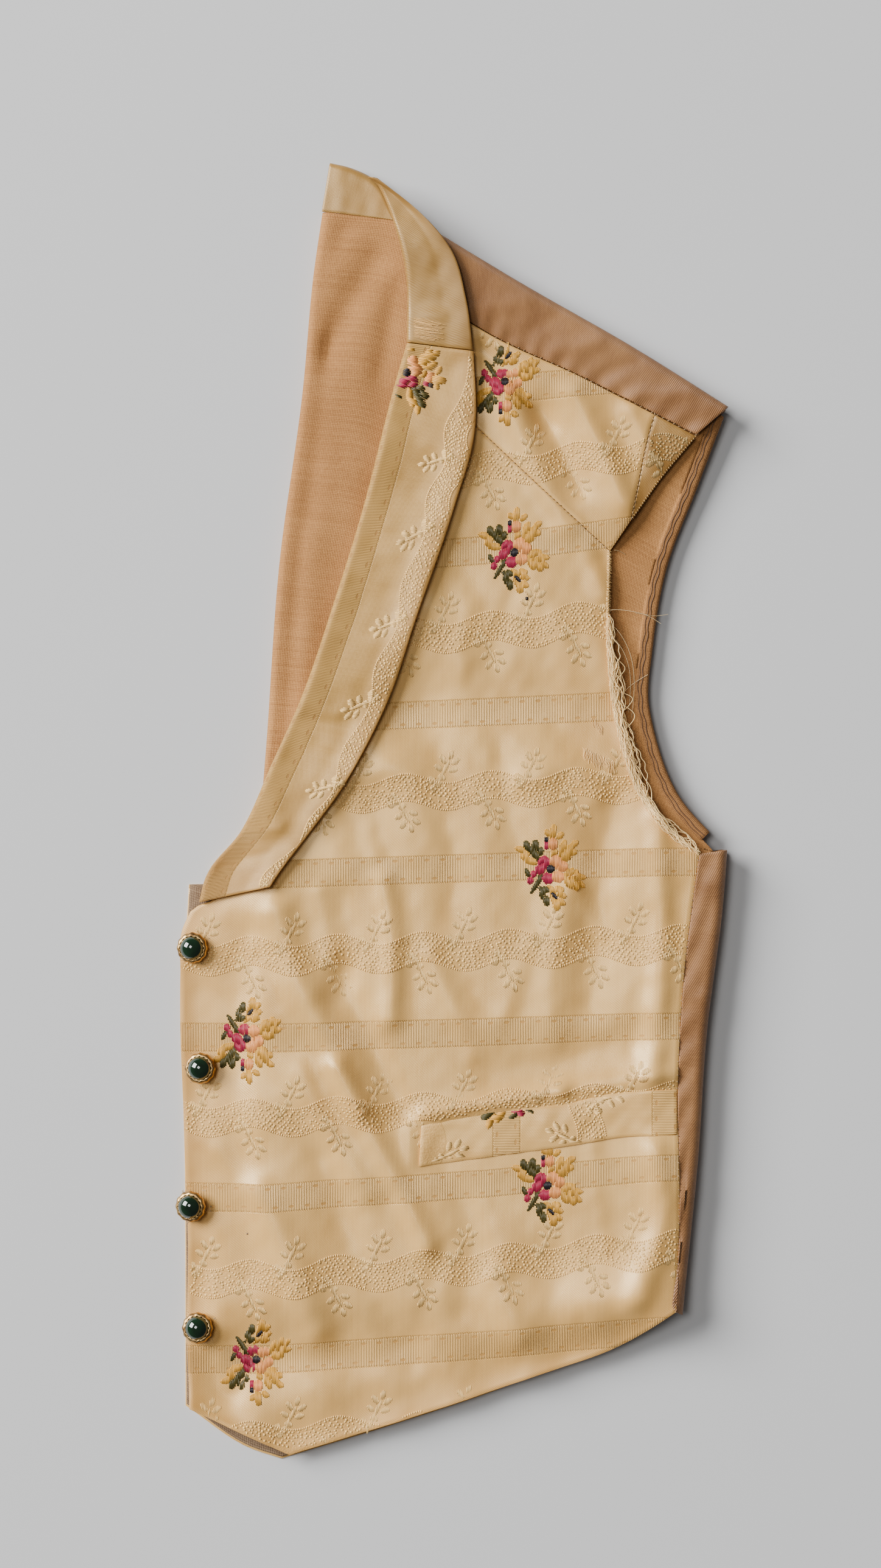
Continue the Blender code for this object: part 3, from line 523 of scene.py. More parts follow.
# The back's twill and the right half of its lining, folded together under the left
# half: three thin layers whose edges show at the hem and the centre fold.
HIDDEN_LAYERS = (
    ("back_twill_left", "silk_twill", 0.62, 0.55),
    ("back_twill_right", "silk_twill", 0.36, 0.55),
    ("back_lining_right_under", "linen_lining", 0.0, 0.6),
)
HIDDEN_COARSENESS = 3


def twill_finish(name, light, shade):
    """Glossy silk twill: fine ribs that run aslant over the cloth."""
    made = Finish(name, roughness=0.42)
    s, t, _, whole = made.weave()
    ribs = (s * 0.5 + t * 0.87).wave(0.5)
    grain = made.noise(whole, (0.3, 3.0, 1.0))
    blotches = made.noise(whole, (14.0, 22.0, 20.0), 4.0)
    tone = 0.16 * ribs + 0.5 * grain + 0.9 * blotches - 0.2
    rough = 0.36 + 0.2 * blotches
    height = 0.05 * ribs + 0.04 * grain
    return made.done(made.mixed(tone.soft(0.0, 1.0), shade, light), height, rough)


TWILL = twill_finish("salmon silk twill", (0.43, 0.205, 0.076), (0.20, 0.084, 0.030))
WORN_TWILL = linen_finish("worn edge twill", (0.44, 0.21, 0.075), (0.21, 0.09, 0.028), 0.5)
hidden_plan = BACK_PLAN[::HIDDEN_COARSENESS, ::HIDDEN_COARSENESS]
for name, slot, share, wall in HIDDEN_LAYERS:
    room = stack_top(hidden_plan) - 0.7 - RIGHT_FRONT_TOP
    low = raised(hidden_plan, RIGHT_FRONT_TOP + share * room)
    face = low + (0.0, 0.0, wall)
    layer = cloth(name, face, low, spread(face), TWILL if slot == "silk_twill" else LINEN)
    nodes = ["back_folded_layers"] if share == 0.0 else []
    lay_sheet(layer, face, nodes)

# The right half of the lining again, where it faces the table beside the collar.
RIGHT_LINING_RANGE = (20.0, 190.0)
COLLAR_UPPER = (
    (-27.8, 202.9, -24.6, 202.2), (-24.4, 200.0, -12.5, 192.5), (-19.8, 189.0, -1.6, 180.0),
    (-15.6, 171.0, 3.4, 164.0), (-15.4, 150.4, 5.6, 147.7),
)
COLLAR_LOWER = (
    (-15.5, 149.8, 5.8, 147.1), (-19.2, 137.2, 6.6, 128.0), (-29.2, 98.2, -0.5, 97.0),
    (-38.5, 68.0, -12.0, 63.5), (-48.8, 37.7, -22.5, 33.5), (-58.6, 15.6, -35.0, 9.5),
    (-68.5, -6.0, -46.5, -6.5), (-80.6, -22.2, -56.6, -19.9), (-82.2, -29.0, -59.2, -23.9),
)

low_y, high_y = RIGHT_LINING_RANGE
fold = smooth_line([row for row in CENTRE_BACK if low_y < row[1] < high_y], 60)
roll = np.array(COLLAR_UPPER + COLLAR_LOWER)[:, :2]
roll_x = np.interp(fold[:, 1], roll[::-1, 1], roll[::-1, 0])
facing = np.stack([roll_x - SEAM_GAP, fold[:, 1]], axis=1)
plan = between(shifted(fold, -CENTRE_INSET), facing, 12)
low = raised(plan, 0.0)
face = raised(plan, LINEN_THICKNESS)
lining_right = cloth("lining_right_back", face, low, spread(face), LINEN)
lay_sheet(lining_right, face, ["back_lining_right"])

# The left front: cream silk satin with ribbed bands and wavy lace ribbons woven in. It is
# pieced from three cuts, sewn along the diagonal seam and the little corner seam.
AIR_AT_EDGE, AIR_INSIDE = 0.2, 1.3
SILK_THICKNESS = 0.7
SIDE_SEAM = ((70.5, -159.6), (71.7, -130.0), (71.3, -85.0), (73.6, -48.1), (78.1, -13.4))
SHOULDER_SEAM = ((-4.0, 162.0), (13.2, 151.8), (39.5, 139.7), (77.2, 120.6))
FRONT_ARMHOLE = (
    (78.1, -13.4), (67.8, -6.1), (59.0, 6.5), (52.7, 26.0), (49.5, 50.0), (49.6, 83.6),
)
DIAGONAL_SEAM = ((-9.4, 137.6), (6.5, 123.5), (29.7, 101.7), (49.6, 83.6))
CORNER_SEAM = ((56.6, 93.9), (58.7, 104.0), (61.2, 117.0), (64.0, 127.2))
UPPER_ARMHOLE_LOW = ((50.0, 84.1), (53.1, 88.7), (56.2, 93.3))
UPPER_ARMHOLE_HIGH = ((57.0, 94.2), (66.8, 107.9), (77.0, 120.1))
FRONT_EDGE = (
    (-85.1, -191.6), (-86.1, -165.0), (-85.7, -141.7), (-87.1, -100.7),
    (-88.2, -52.0), (-87.6, -38.0), (-85.0, -32.2),
)
UNDER_COLLAR_END = (-82.4, -30.2)
FRONT_HEM = (
    (-53.1, -206.4), (-19.0, -195.9), (23.9, -181.6), (55.1, -169.9), (70.5, -159.6),
)
FRONT_CORNER = ((-85.1, -191.6), (-67.8, -199.8), (-53.1, -206.4))


class Crease(NamedTuple):
    """A soft ridge, or a trough where rise is below 0, along a bent line."""

    line: tuple
    rise: float
    width: float


FRONT_CREASES = (
    Crease(((-57, -32), (-52, -50), (-42, -70), (-31, -94)), 1.5, 5.2),
    Crease(((-38, -82), (-29, -99), (-18, -120), (-9, -139)), 1.6, 3.8),
    Crease(((-36, -52), (-25, -78), (-17, -96)), -1.1, 4.4),
    Crease(((-23, -22), (-20, -42), (-21, -66)), 1.6, 4.0),
    Crease(((-36, -28), (-33, -46), (-38, -60)), -0.9, 4.6),
    Crease(((-49, -84), (-42, -100), (-28, -122)), 0.9, 4.4),
    Crease(((-63, -122), (-54, -142), (-44, -166)), 1.6, 6.0),
    Crease(((-42, -112), (-32, -140), (-18, -170)), -1.3, 6.5),
    Crease(((-68, -40), (-70, -96), (-66, -150), (-72, -186)), -1.1, 6.0),
    Crease(((-60, -190), (-20, -180), (24, -168), (58, -154)), 1.7, 11.0),
    Crease(((65, -2), (66, -46), (63, -84)), 1.5, 4.2),
    Crease(((64, -108), (66, -132), (57, -156)), 1.5, 4.6),
    Crease(((52, 6), (47, -22), (43, -62)), -1.3, 6.5),
    Crease(((36, -24), (30, -52), (31, -74)), 0.8, 5.0),
    Crease(((-16, 33), (14, 36), (46, 32)), -1.5, 12.0),
    Crease(((-6, 5), (0, -12), (-1, -32)), -0.6, 4.6),
    Crease(((-8, -46), (0, -62), (10, -70)), 0.7, 5.0),
    Crease(((-30, 12), (-18, 14), (-6, 6)), 0.8, 5.0),
    Crease(((22, 10), (36, 14), (46, 6)), 0.9, 5.0),
    Crease(((12, -84), (36, -79), (60, -73)), -0.9, 6.5),
    Crease(((-4, -112), (6, -134), (2, -160)), -0.8, 6.0),
    Crease(((12, -150), (20, -168)), 0.9, 4.4),
    Crease(((28, 128), (38, 106), (47, 82)), -1.2, 4.2),
    Crease(((38, 134), (47, 116), (54, 99)), 1.4, 4.2),
    Crease(((16, 134), (24, 116), (36, 92)), 1.0, 4.6),
    Crease(((9, 148), (20, 138), (30, 124)), -0.7, 3.4),
    Crease(((56, 128), (64, 112)), 0.9, 3.6),
    Crease(((42, 98), (47, 70)), 0.9, 4.0),
    Crease(((0, 112), (-8, 84), (-14, 60)), 0.8, 7.0),
)
CREASE_DEPTH = 1.35
FINE_FOLDS = (
    Fold(-62, -46, -56, -62, -0.4, 2.0),
    Fold(-74, -60, -60, -88, -0.3, 3.0),
    Fold(-8, -46, 6, -78, 0.5, 3.0),
    Fold(14, 20, 20, -14, -0.4, 3.5),
    Fold(33, 60, 38, 30, 0.5, 4.0),
    Fold(20, 74, 12, 48, -0.4, 3.5),
    Fold(38, -22, 47, -40, 0.5, 2.2),
    Fold(25, -40, 15, -66, 0.5, 3.0),
    Fold(8, -124, 16, -146, 0.5, 3.4),
    Fold(-4, -140, -14, -178, -0.5, 3.4),
    Fold(36, -130, 30, -168, -0.4, 4.0),
    Fold(-76, -108, -64, -124, 0.4, 3.0),
    Fold(30, 118, 40, 98, 0.4, 2.0),
    Fold(44, -108, 48, -140, 0.5, 3.0),
    Fold(-78, -150, -74, -184, 0.4, 2.8),
    Fold(60, -56, 57, -76, -0.4, 2.6),
    Fold(-30, 4, -26, -14, 0.5, 3.2),
    Fold(52, 30, 58, 14, 0.4, 2.2),
    Fold(4, 66, 2, 44, 0.4, 3.2),
    Fold(-44, -26, -40, -44, 0.5, 2.6),
)


def crease_height(plan):
    """The main creases of the left front, with soft ends."""
    height = np.zeros(plan.shape[:-1])
    for crease in FRONT_CREASES:
        line = smooth_line(crease.line, 8)
        height += crease.rise * np.exp(-((distance_to(line, plan) / crease.width) ** 2))
    return CREASE_DEPTH * height


HEM_LINE = smooth_line([*FRONT_CORNER, *FRONT_HEM[1:]], 30)
HEM_CURL, HEM_CURL_REACH = 3.2, 6.0
WELT_PUFFS = (
    Fold(-10, -97.0, 34, -89.0, 1.7, 3.0), Fold(34, -89.0, 70, -84.0, 1.1, 3.0),
    Fold(-15, -101, -14, -112, 0.7, 2.0),
)

# Where the woven bands cross the front. Columns: y at each of BAND_X, then the band's t
BAND_PITCH = 51.0
BAND_X = (-60.0, 10.0, 65.0)
BANDS = (
    (-227.5, -223.0, -218.5, -4), (-176.3, -171.2, -166.0, -3), (-123.9, -119.1, -113.5, -2),
    (-72.7, -70.8, -69.0, -1), (-20.0, -17.8, -16.0, 0), (29.1, 31.8, 33.9, 1),
    (78.0, 83.8, 91.5, 2), (130.0, 135.0, 139.0, 3), (181.0, 186.0, 190.0, 4),
)
BAND_HALF = 4.3
RIBBON_WAVE, RIBBON_SWING, RIBBON_HALF = 27.5, 1.75, 4.4
RIBBON_PHASE_ABOVE, RIBBON_PHASE_BELOW = 11.6, 17.3


def front_low(plan):
    """The underside of the left front."""
    air = AIR_AT_EDGE + AIR_INSIDE * over_back(plan)
    curl = HEM_CURL * np.exp(-distance_to(HEM_LINE, plan) / HEM_CURL_REACH)
    bare = lining_top(plan) + SEAM_GAP + air + crease_height(plan) + curl
    return np.maximum(bare, RIGHT_FRONT_TOP + AIR_AT_EDGE)


def front_top(plan):
    """The upper face of the left front, with its finer creases."""
    fine = fold_height(FINE_FOLDS, plan) + fold_height(WELT_PUFFS, plan)
    uneven = ripple(plan, 30.0, 0.42, 11) + ripple(plan, 10.0, 0.07, 12)
    return front_low(plan) + SILK_WALL + fine + uneven


def band_rows(x):
    """The y of each band at each x."""
    return [np.interp(x, BAND_X, row[:3]) for row in BANDS]


def woven(plan):
    """The silk's own s, t and w over a plan grid. w counts from a crest of the lace ribbon."""
    s, y = plan[..., 0], plan[..., 1]
    rows = band_rows(s)
    t = np.full(s.shape, BANDS[0][3] * BAND_PITCH)
    for low, high, row in zip(rows[:-1], rows[1:], BANDS):
        t += BAND_PITCH * np.clip((y - low) / (high - low), 0.0, 1.0)
    phase = np.where(t > 0.0, RIBBON_PHASE_ABOVE, RIBBON_PHASE_BELOW)
    return np.stack([s, t, s - phase], axis=-1)


def unwoven(threads):
    """The plan points of the silk's own s and t."""
    rows = np.stack(band_rows(threads[..., 0]), axis=-1)
    number = threads[..., 1] / BAND_PITCH - BANDS[0][3]
    low = np.clip(np.floor(number).astype(int), 0, len(BANDS) - 2)
    start = np.take_along_axis(rows, low[..., None], -1)[..., 0]
    end = np.take_along_axis(rows, low[..., None] + 1, -1)[..., 0]
    return np.stack([threads[..., 0], start + (number - low) * (end - start)], axis=-1)


WARM_GLOSS = (1.0, 0.80, 0.52, 1.0)
DOT_PITCH, DOT_SHIFT, DOT_STAGGER = 5.1, 2.55, 1.25
DOT_PLACE, DOT_HALF_LENGTH, DOT_HALF_WIDTH = 2.95, 0.85, 0.42


def silk_finish(name, light, shade, stain_and_painted_shade, worn=0.3, figured=1.0, dull=0.0):
    """Satin, and where it is figured, ribbed bands and lace ribbons along its own s."""
    made = Finish(name, specular_ior_level=1.0, specular_tint=WARM_GLOSS)
    soil = made.node("Attribute", {"attribute_name": "soil"}, {}, "Fac")
    s, t, w, whole = made.weave()
    half = 0.5 * BAND_PITCH
    from_band = t.math("PINGPONG", half)
    in_band = figured * (1.0 - from_band.soft(BAND_HALF - 0.12, BAND_HALF + 0.12))
    border = figured * (1.0 - abs(from_band - BAND_HALF).soft(0.12, 0.4))
    swing = RIBBON_SWING * (w + 0.25 * RIBBON_WAVE).wave(RIBBON_WAVE)
    from_ribbon = abs(t.math("WRAP", BAND_PITCH, 0.0) - half - swing)
    in_ribbon = figured * (1.0 - from_ribbon.soft(RIBBON_HALF - 0.3, RIBBON_HALF + 0.2))

    side = t.math("WRAP", half, -half).math("SIGN")
    beside = (s - DOT_SHIFT + DOT_STAGGER * side).math("WRAP", 0.5 * DOT_PITCH, -0.5 * DOT_PITCH)
    beside = beside / DOT_HALF_LENGTH
    above = (from_band - DOT_PLACE) / DOT_HALF_WIDTH
    dots = figured * (1.0 - (beside * beside + above * above).soft(0.6, 1.4))

    twist = made.noise(whole, (3.0, 3.0, 3.0))
    ribs = (s + 0.1 * twist).wave(0.52) * (1.0 - 0.8 * dots)
    satin = (0.87 * t - 0.5 * s + 0.25 * twist).wave(0.46)
    rope = (s + t).wave(0.7)
    grain = made.noise(whole, (0.35, 0.8, 1.0))
    # In the tone below, pores and a lower level make the lace ribbon's ground darker than the satin:
    # painted shade between its pips.
    pores = made.noise(whole, (0.7, 0.55, 1.0), 1.0)
    ground = satin * 0.5 + (grain - 0.5) * 1.6
    streaks = made.noise(whole, (0.9, 60.0, 1.0))
    blotches = made.noise(whole, (30.0, 24.0, 20.0), 4.0)
    spots = made.noise(whole, (5.0, 9.0, 5.0), 4.0)
    plain = (1.0 - in_band) * (1.0 - in_ribbon)
    # The dots and the ropes at the band borders are woven figures, and they are also painted darker, as
    # painted shade for their duller sheen.
    tone = (
        0.5 + 0.16 * ground * plain + (0.45 * ribs + 0.04) * in_band - 0.6 * dots
        - 0.34 * border * (0.4 + 0.6 * rope) + (0.7 * pores - 0.50) * in_ribbon
        + 0.35 * (streaks - 0.5) + 1.1 * (blotches - 0.5) + 0.25 * (spots - 0.5)
    )
    colour = made.mixed(tone.soft(-0.1, 1.1), shade, light)
    stained = blotches.soft(0.5, 0.75) * worn + spots.soft(0.62, 0.8) * 0.5 * worn
    # Besides the yellowing and the stains, this mix also paints shade on the dots and the band borders,
    # towards the darkest colour.
    soiled = soil * (0.55 + 0.6 * blotches) + stained + 0.85 * dots + 0.7 * border * rope
    colour = made.mixed(soiled.math("MINIMUM", 1.0), colour, stain_and_painted_shade)
    height = (
        0.07 * ribs * in_band + 0.018 * ground * plain + 0.06 * border * rope
        - 0.06 * border + 0.10 * pores * in_ribbon - 0.06 * dots
    )
    rough = 0.29 + dull + 0.14 * in_band + 0.08 * in_ribbon + 0.2 * (spots - 0.4) + 0.12 * soil
    rough = rough + 0.2 * dots
    return made.done(colour, height, rough)


CREAM_LIGHT, CREAM_SHADE, CREAM_STAIN_AND_PAINTED_SHADE = (0.90, 0.55, 0.185), (0.60, 0.32, 0.085), (0.52, 0.26, 0.06)
CREAM_SILK = silk_finish("brocaded cream silk", CREAM_LIGHT, CREAM_SHADE, CREAM_STAIN_AND_PAINTED_SHADE)
CORNER_SILK = silk_finish(
    "tarnished corner silk", (0.50, 0.28, 0.072), (0.26, 0.125, 0.03), (0.22, 0.095, 0.02), 0.7
)


SOIL_REACH, SOIL_WIDE_REACH = 7.0, 24.0


def soiled(line, plan):
    """How yellowed a plan point is beside a worn edge."""
    gap = distance_to(line, plan)
    return np.maximum(np.exp(-((gap / SOIL_REACH) ** 2)), 0.5 * np.exp(-((gap / SOIL_WIDE_REACH) ** 2)))


def lay_front(name, plan, finish, nodes):
    """One cut of the left front, on the lining under it."""
    top = front_top(plan)
    face = raised(plan, top)
    soil = np.maximum(soiled(smooth_line(FRONT_EDGE, 20), plan), 0.6 * soiled(SEAMS, plan))
    soil = np.maximum(soil, 0.7 * soiled(HEM_LINE, plan))
    piece = cloth(name, face, raised(plan, top - SILK_THICKNESS), woven(plan), finish, soil)
    lay_sheet(piece, face, nodes)
    return piece


SEAMS = smooth_line([*SHOULDER_SEAM, *UPPER_ARMHOLE_HIGH[::-1], *FRONT_ARMHOLE[::-1]], 60)
STAND_AT_SHOULDER, STAND_AT_BREAK = 11.0, 3.6


def collar_stations(table, count):
    """Roll line and outer edge points, side by side down the collar."""
    both = smooth_line(table, count)
    return both[:, :2], both[:, 2:]


def stand_width(roll):
    """The width of the collar's stand, by how far down the roll line a point lies."""
    share = (COLLAR_UPPER[0][1] - roll[:, 1]) / (COLLAR_UPPER[0][1] - COLLAR_LOWER[-1][1])
    return STAND_AT_SHOULDER + share * (STAND_AT_BREAK - STAND_AT_SHOULDER)


roll, edge = collar_stations(COLLAR_UPPER + COLLAR_LOWER[1:], 300)
neck = roll + (stand_width(roll) + HIDDEN_GAP)[:, None] * towards(roll, edge)
main_neck = neck[neck[:, 1] < DIAGONAL_SEAM[0][1] - 1.0][::-1]
under_collar = main_neck[0] - (0.0, 2 * SEAM_GAP)
EDGE_ROWS, NECK_ROWS, FRONT_COLUMNS, CORNER_COLUMNS = 105, 125, 104, 24
diagonal = smooth_line(DIAGONAL_SEAM, FRONT_COLUMNS)
neck_line = np.concatenate(
    [[FRONT_EDGE[-1], UNDER_COLLAR_END, under_collar], main_neck[4:], [diagonal[0]]]
)
left = joined(smooth_line(FRONT_EDGE, EDGE_ROWS), evenly(neck_line, NECK_ROWS))
right = joined(smooth_line(SIDE_SEAM, EDGE_ROWS), smooth_line(FRONT_ARMHOLE, NECK_ROWS))
bottom = joined(
    smooth_line(FRONT_CORNER, CORNER_COLUMNS),
    smooth_line(FRONT_HEM, FRONT_COLUMNS - CORNER_COLUMNS + 1),
)
FRONT_PLAN = patch(bottom, diagonal, left, right)
lay_front("front_left_silk", FRONT_PLAN, CREAM_SILK, ["front_left"])

columns = 50
lower = shifted(smooth_line(DIAGONAL_SEAM, columns), SEAM_GAP)
upper = smooth_line([row for row in SHOULDER_SEAM if row[0] < 60] + [CORNER_SEAM[-1]], columns)
upper = shifted(upper, -SEAM_GAP)
upper_neck = neck[(neck[:, 1] > DIAGONAL_SEAM[0][1] + 1.0) & (neck[:, 1] < 161.0)][::-1]
right = joined(smooth_line(UPPER_ARMHOLE_LOW, 10), shifted(smooth_line(CORNER_SEAM, 29), SEAM_GAP))
left = evenly(np.concatenate([[lower[0]], upper_neck, [upper[0]]]), len(right))
right[0], right[-1] = lower[-1], upper[-1]
SHOULDER_PLAN = patch(lower, upper, left, right)
lay_front(
    "front_left_shoulder_silk", SHOULDER_PLAN, CREAM_SILK, ["front_left_shoulder_piece"]
)

left = shifted(smooth_line(CORNER_SEAM, 32), -0.5 * SEAM_GAP)
left[-1, 1] -= SEAM_GAP
CORNER_PLAN = between(left, smooth_line(UPPER_ARMHOLE_HIGH, 32), 12)
lay_front("front_left_corner_silk", CORNER_PLAN, CORNER_SILK, ["front_left_armhole_piece"])

# The back's twill, where it comes round the shoulder and the side to the front. It is
# puckered along the seams that join it to the silk.
ARMHOLE_BAND = 4.0
LOWER_FOLD_SETBACK = 0.8
TWILL_THICKNESS = 0.7
SHOULDER_FOLDS = (
    Fold(4, 160, 22, 163, 0.5, 3.0),
    Fold(20, 152, 32, 158, -0.4, 2.6),
    Fold(30, 147, 46, 150, 0.5, 2.8),
    Fold(45, 139, 58, 144, -0.4, 2.4),
    Fold(56, 133, 74, 134, 0.5, 2.6),
    Fold(72, 124, 84, 126, -0.3, 2.4),
    Fold(76, -60, 84, -57, 0.35, 2.2),
    Fold(74, -86, 80, -90, -0.3, 2.4),
    Fold(78, -22, 87, -24, 0.3, 3.0),
    Fold(73, -118, 79, -121, 0.3, 2.6),
    Fold(72, -146, 76, -150, 0.3, 2.2),
)
PUCKER_PITCH, PUCKER_RISE, PUCKER_REACH = 8.0, 0.3, 5.0
SEAM_LINE = joined(smooth_line(SIDE_SEAM, 30), smooth_line(SHOULDER_SEAM, 30)[::-1])


def stack_middle(plan):
    """The level between the left back and the right back."""
    return 0.5 * (stack_top(plan) + RIGHT_FRONT_TOP)


def twill_top(plan):
    """The upper face of the twill beside the front, with its puckers."""
    near_seam = np.exp(-distance_to(SEAM_LINE, plan) / PUCKER_REACH)
    pucker = PUCKER_RISE * near_seam * np.sin(
        2 * math.pi * (plan[..., 0] - 0.6 * plan[..., 1]) / PUCKER_PITCH
        + 2.0 * np.sin(0.11 * plan[..., 0] + 0.07 * plan[..., 1])
    )
    smooth = front_low(plan) + SILK_WALL
    return smooth + pucker + fold_height(SHOULDER_FOLDS, plan) + ripple(plan, 14.0, 0.07, 21)


def upper_low(plan):
    return stack_middle(plan) + 0.5 * SEAM_GAP


def lower_high(plan):
    return stack_middle(plan) - 0.5 * SEAM_GAP


def band_top(plan):
    return lining_top(plan) - LINING_WALL + TWILL_WALL + ripple(plan, 5.0, 0.06, 5)


def folded_strip(name, fold, seam, top, low, wall, finish, nodes, columns=14, steps=13):
    """A strip that lies from its seam to a fold on top, and turns under at the fold."""
    inward = towards(fold, seam)
    radius = 0.5 * (top(fold) - low(fold))[:, None]
    turn_start = fold + radius * inward
    outer, inner = half_turn(fold, inward, top(turn_start), low(turn_start), wall, steps)
    leg = between(seam, turn_start, columns)[:, :-1]
    outer = np.concatenate([raised(leg, top(leg)), outer], axis=1)
    inner = np.concatenate([raised(leg, top(leg) - wall), inner], axis=1)
    piece = cloth(name, outer, inner, spread(outer), finish)
    lay_sheet(piece, outer, nodes)


def bottom_strip(name, fold, seam, nodes, columns=8, steps=9):
    """A strip on the table from its seam to a fold, where it turns up to the other half."""
    inward = towards(fold, seam)
    radius = 0.5 * lower_high(fold)[:, None]
    turn_start = fold + radius * inward
    on_table = np.zeros(len(fold))
    outer, inner = half_turn(
        fold, inward, lower_high(turn_start), on_table, TWILL_THICKNESS, steps
    )
    leg = between(turn_start, seam, columns)[:, 1:]
    outer = np.concatenate([outer, raised(leg, 0.0)], axis=1)
    inner = np.concatenate([inner, raised(leg, TWILL_THICKNESS)], axis=1)
    piece = cloth(name, outer, inner, spread(outer), TWILL)
    lay_sheet(piece, outer, nodes)


shoulder = smooth_line(SHOULDER_FOLD, 110)
shoulder_seam = shifted(smooth_line(SHOULDER_SEAM, 110), SEAM_GAP)
side = smooth_line(SIDE_FOLD, 150)
side_seam = shifted(smooth_line(SIDE_SEAM, 150), -SEAM_GAP)
ARMHOLE = smooth_line(BACK_ARMHOLE, 160)[3:-8]
armhole_seam = shifted(ARMHOLE, -ARMHOLE_BAND)
STRIPS = (
    ("back_shoulder_twill_left", shoulder, shoulder_seam, twill_top, "back_shoulder_left"),
    ("back_side_twill_left", side, side_seam, twill_top, "back_side_left"),
)
for name, fold, seam, top, node in STRIPS:
    folded_strip(name, fold, seam, top, upper_low, TWILL_THICKNESS, TWILL, [node])
folded_strip(
    "back_armhole_twill_left", ARMHOLE, armhole_seam, band_top, upper_low, TWILL_THICKNESS,
    WORN_TWILL, ["back_armhole_edge_left"], 6, 9,
)
beside_collar = 16
bottom_strip(
    "back_shoulder_twill_right", shifted(shoulder, -LOWER_FOLD_SETBACK)[beside_collar:],
    shoulder_seam[beside_collar:], ["back_shoulder_right"],
)
bottom_strip(
    "back_side_twill_right", shifted(side, LOWER_FOLD_SETBACK), side_seam, ["back_side_right"]
)
bottom_strip(
    "back_armhole_twill_right", shifted(ARMHOLE, -0.5 * LOWER_FOLD_SETBACK), armhole_seam,
    ["back_armhole_edge_right"], 5,
)

# The right front, face down on the table: the same silk, and over it its own lining of
# coarse brown linen, which shows along the front edge and the pointed corner.
RIGHT_FRONT_EDGE = ((-86.7, -191.4), (-86.9, -120.0), (-87.6, -60.0), (-85.6, -23.5))
RIGHT_FRONT_CORNER = ((-86.7, -191.4), (-65.8, -205.2), (-56.0, -208.4))
RIGHT_FRONT_HEM = ((-56.0, -208.4), (-19.0, -197.2), (23.9, -182.4), (70.5, -160.4))
RIGHT_NECK_START = (-62.0, -23.0)
RIGHT_TOP_START = (6.5, 156.0)
RIGHT_COLLAR_END_Y = -19.0
RIGHT_SILK_THICKNESS = 0.55
LINING_SETBACK = 0.004

COARSE_LINEN = linen_finish("coarse brown linen", (0.36, 0.24, 0.14), (0.12, 0.07, 0.04), 0.75)
roll, edge = collar_stations(COLLAR_LOWER, 120)
beside = shifted(edge, SEAM_GAP)[::-1]
beside = beside[beside[:, 1] > RIGHT_COLLAR_END_Y]
top = shifted(smooth_line([RIGHT_TOP_START] + list(SHOULDER_SEAM[1:]), 40), -SEAM_GAP)
left = joined(
    smooth_line(RIGHT_FRONT_EDGE, 50),
    evenly(np.concatenate([[RIGHT_FRONT_EDGE[-1], RIGHT_NECK_START], beside, [top[0]]]), 56),
)
bottom = joined(smooth_line(RIGHT_FRONT_CORNER, 12), smooth_line(RIGHT_FRONT_HEM, 29))
arm_table = [*FRONT_ARMHOLE, UPPER_ARMHOLE_HIGH[1], tuple(top[-1])]
right = joined(smooth_line(SIDE_SEAM, 50), smooth_line(arm_table, 56))
right[0] = bottom[-1]
right_plan = patch(bottom, top, left, right)
face = raised(right_plan, RIGHT_SILK_THICKNESS)
silk = cloth("front_right_silk", face, raised(right_plan, 0.0), woven(right_plan), CREAM_SILK)
lay_sheet(silk, face, ["front_right"])

centre_point = right_plan.mean(axis=(0, 1))
lining_plan = right_plan + LINING_SETBACK * (centre_point - right_plan)
weave_height = ripple(lining_plan, 3.0, 0.02, 8)
face = raised(lining_plan, SILK_WALL + weave_height)
low = raised(lining_plan, RIGHT_SILK_THICKNESS + 0.1)
right_lining = cloth("front_right_lining", face, low, spread(face), COARSE_LINEN)
lay_sheet(right_lining, face)

# The shawl collar: its fall lies on the fronts, turns at the roll line, and its stand
# goes down to the neck seam. The lower part is brocaded, and the upper part is plain.
COLLAR_THICKNESS = 0.8
COLLAR_WALL = 1.2
ROLL_RADIUS = 1.7
ROLL_LIFT, ROLL_LIFT_REACH = 0.4, 5.0
FALL_LIFT = 0.3
EDGE_LIFT, EDGE_LIFT_REACH = 1.3, 9.0
COLLAR_FOLDS = (
    Fold(-31, 90, -5, 84, -0.4, 3.0),
    Fold(-50, 30, -28, 27, -0.4, 3.0),
    Fold(-53, 22, -34, 16, -0.3, 3.0),
    Fold(-66, -10, -44, -8, -0.3, 3.0),
    Fold(-18, 165, 4, 160, -0.3, 3.5),
    Fold(-17, 158, -4, 159, 0.35, 2.4),
    Fold(-52, 33, -38, 31, 0.35, 2.2),
    Fold(-69, -7, -56, -5, 0.35, 2.2),
    Fold(-74, -16, -60, -13, -0.25, 2.0),
    Fold(-26, 110, -12, 108, 0.2, 3.0),
    Fold(-13, 141, -10, 118, 0.25, 3.2),
    Fold(-40, 58, -26, 55, 0.2, 3.0),
)
COLLAR_BAND_EDGE = 7.8
COLLAR_RIBBON_CENTRE = 24.0


def collar_weave(along, across):
    """The silk's s, t and w on the collar: a ribbed band by the roll, and a ribbon outside."""
    t = np.interp(
        across,
        (-20.0, 0.0, COLLAR_BAND_EDGE, COLLAR_RIBBON_CENTRE, 45.0),
        (-23.5, -3.5, BAND_HALF, 0.5 * BAND_PITCH, 46.5),
    )
    return np.stack(np.broadcast_arrays(along, t, along - 8.0), axis=-1)


PLAIN_BANDLESS_T = 14.0
COLLAR_SOIL_REACH, COLLAR_END_SOIL = 5.0, 30.0


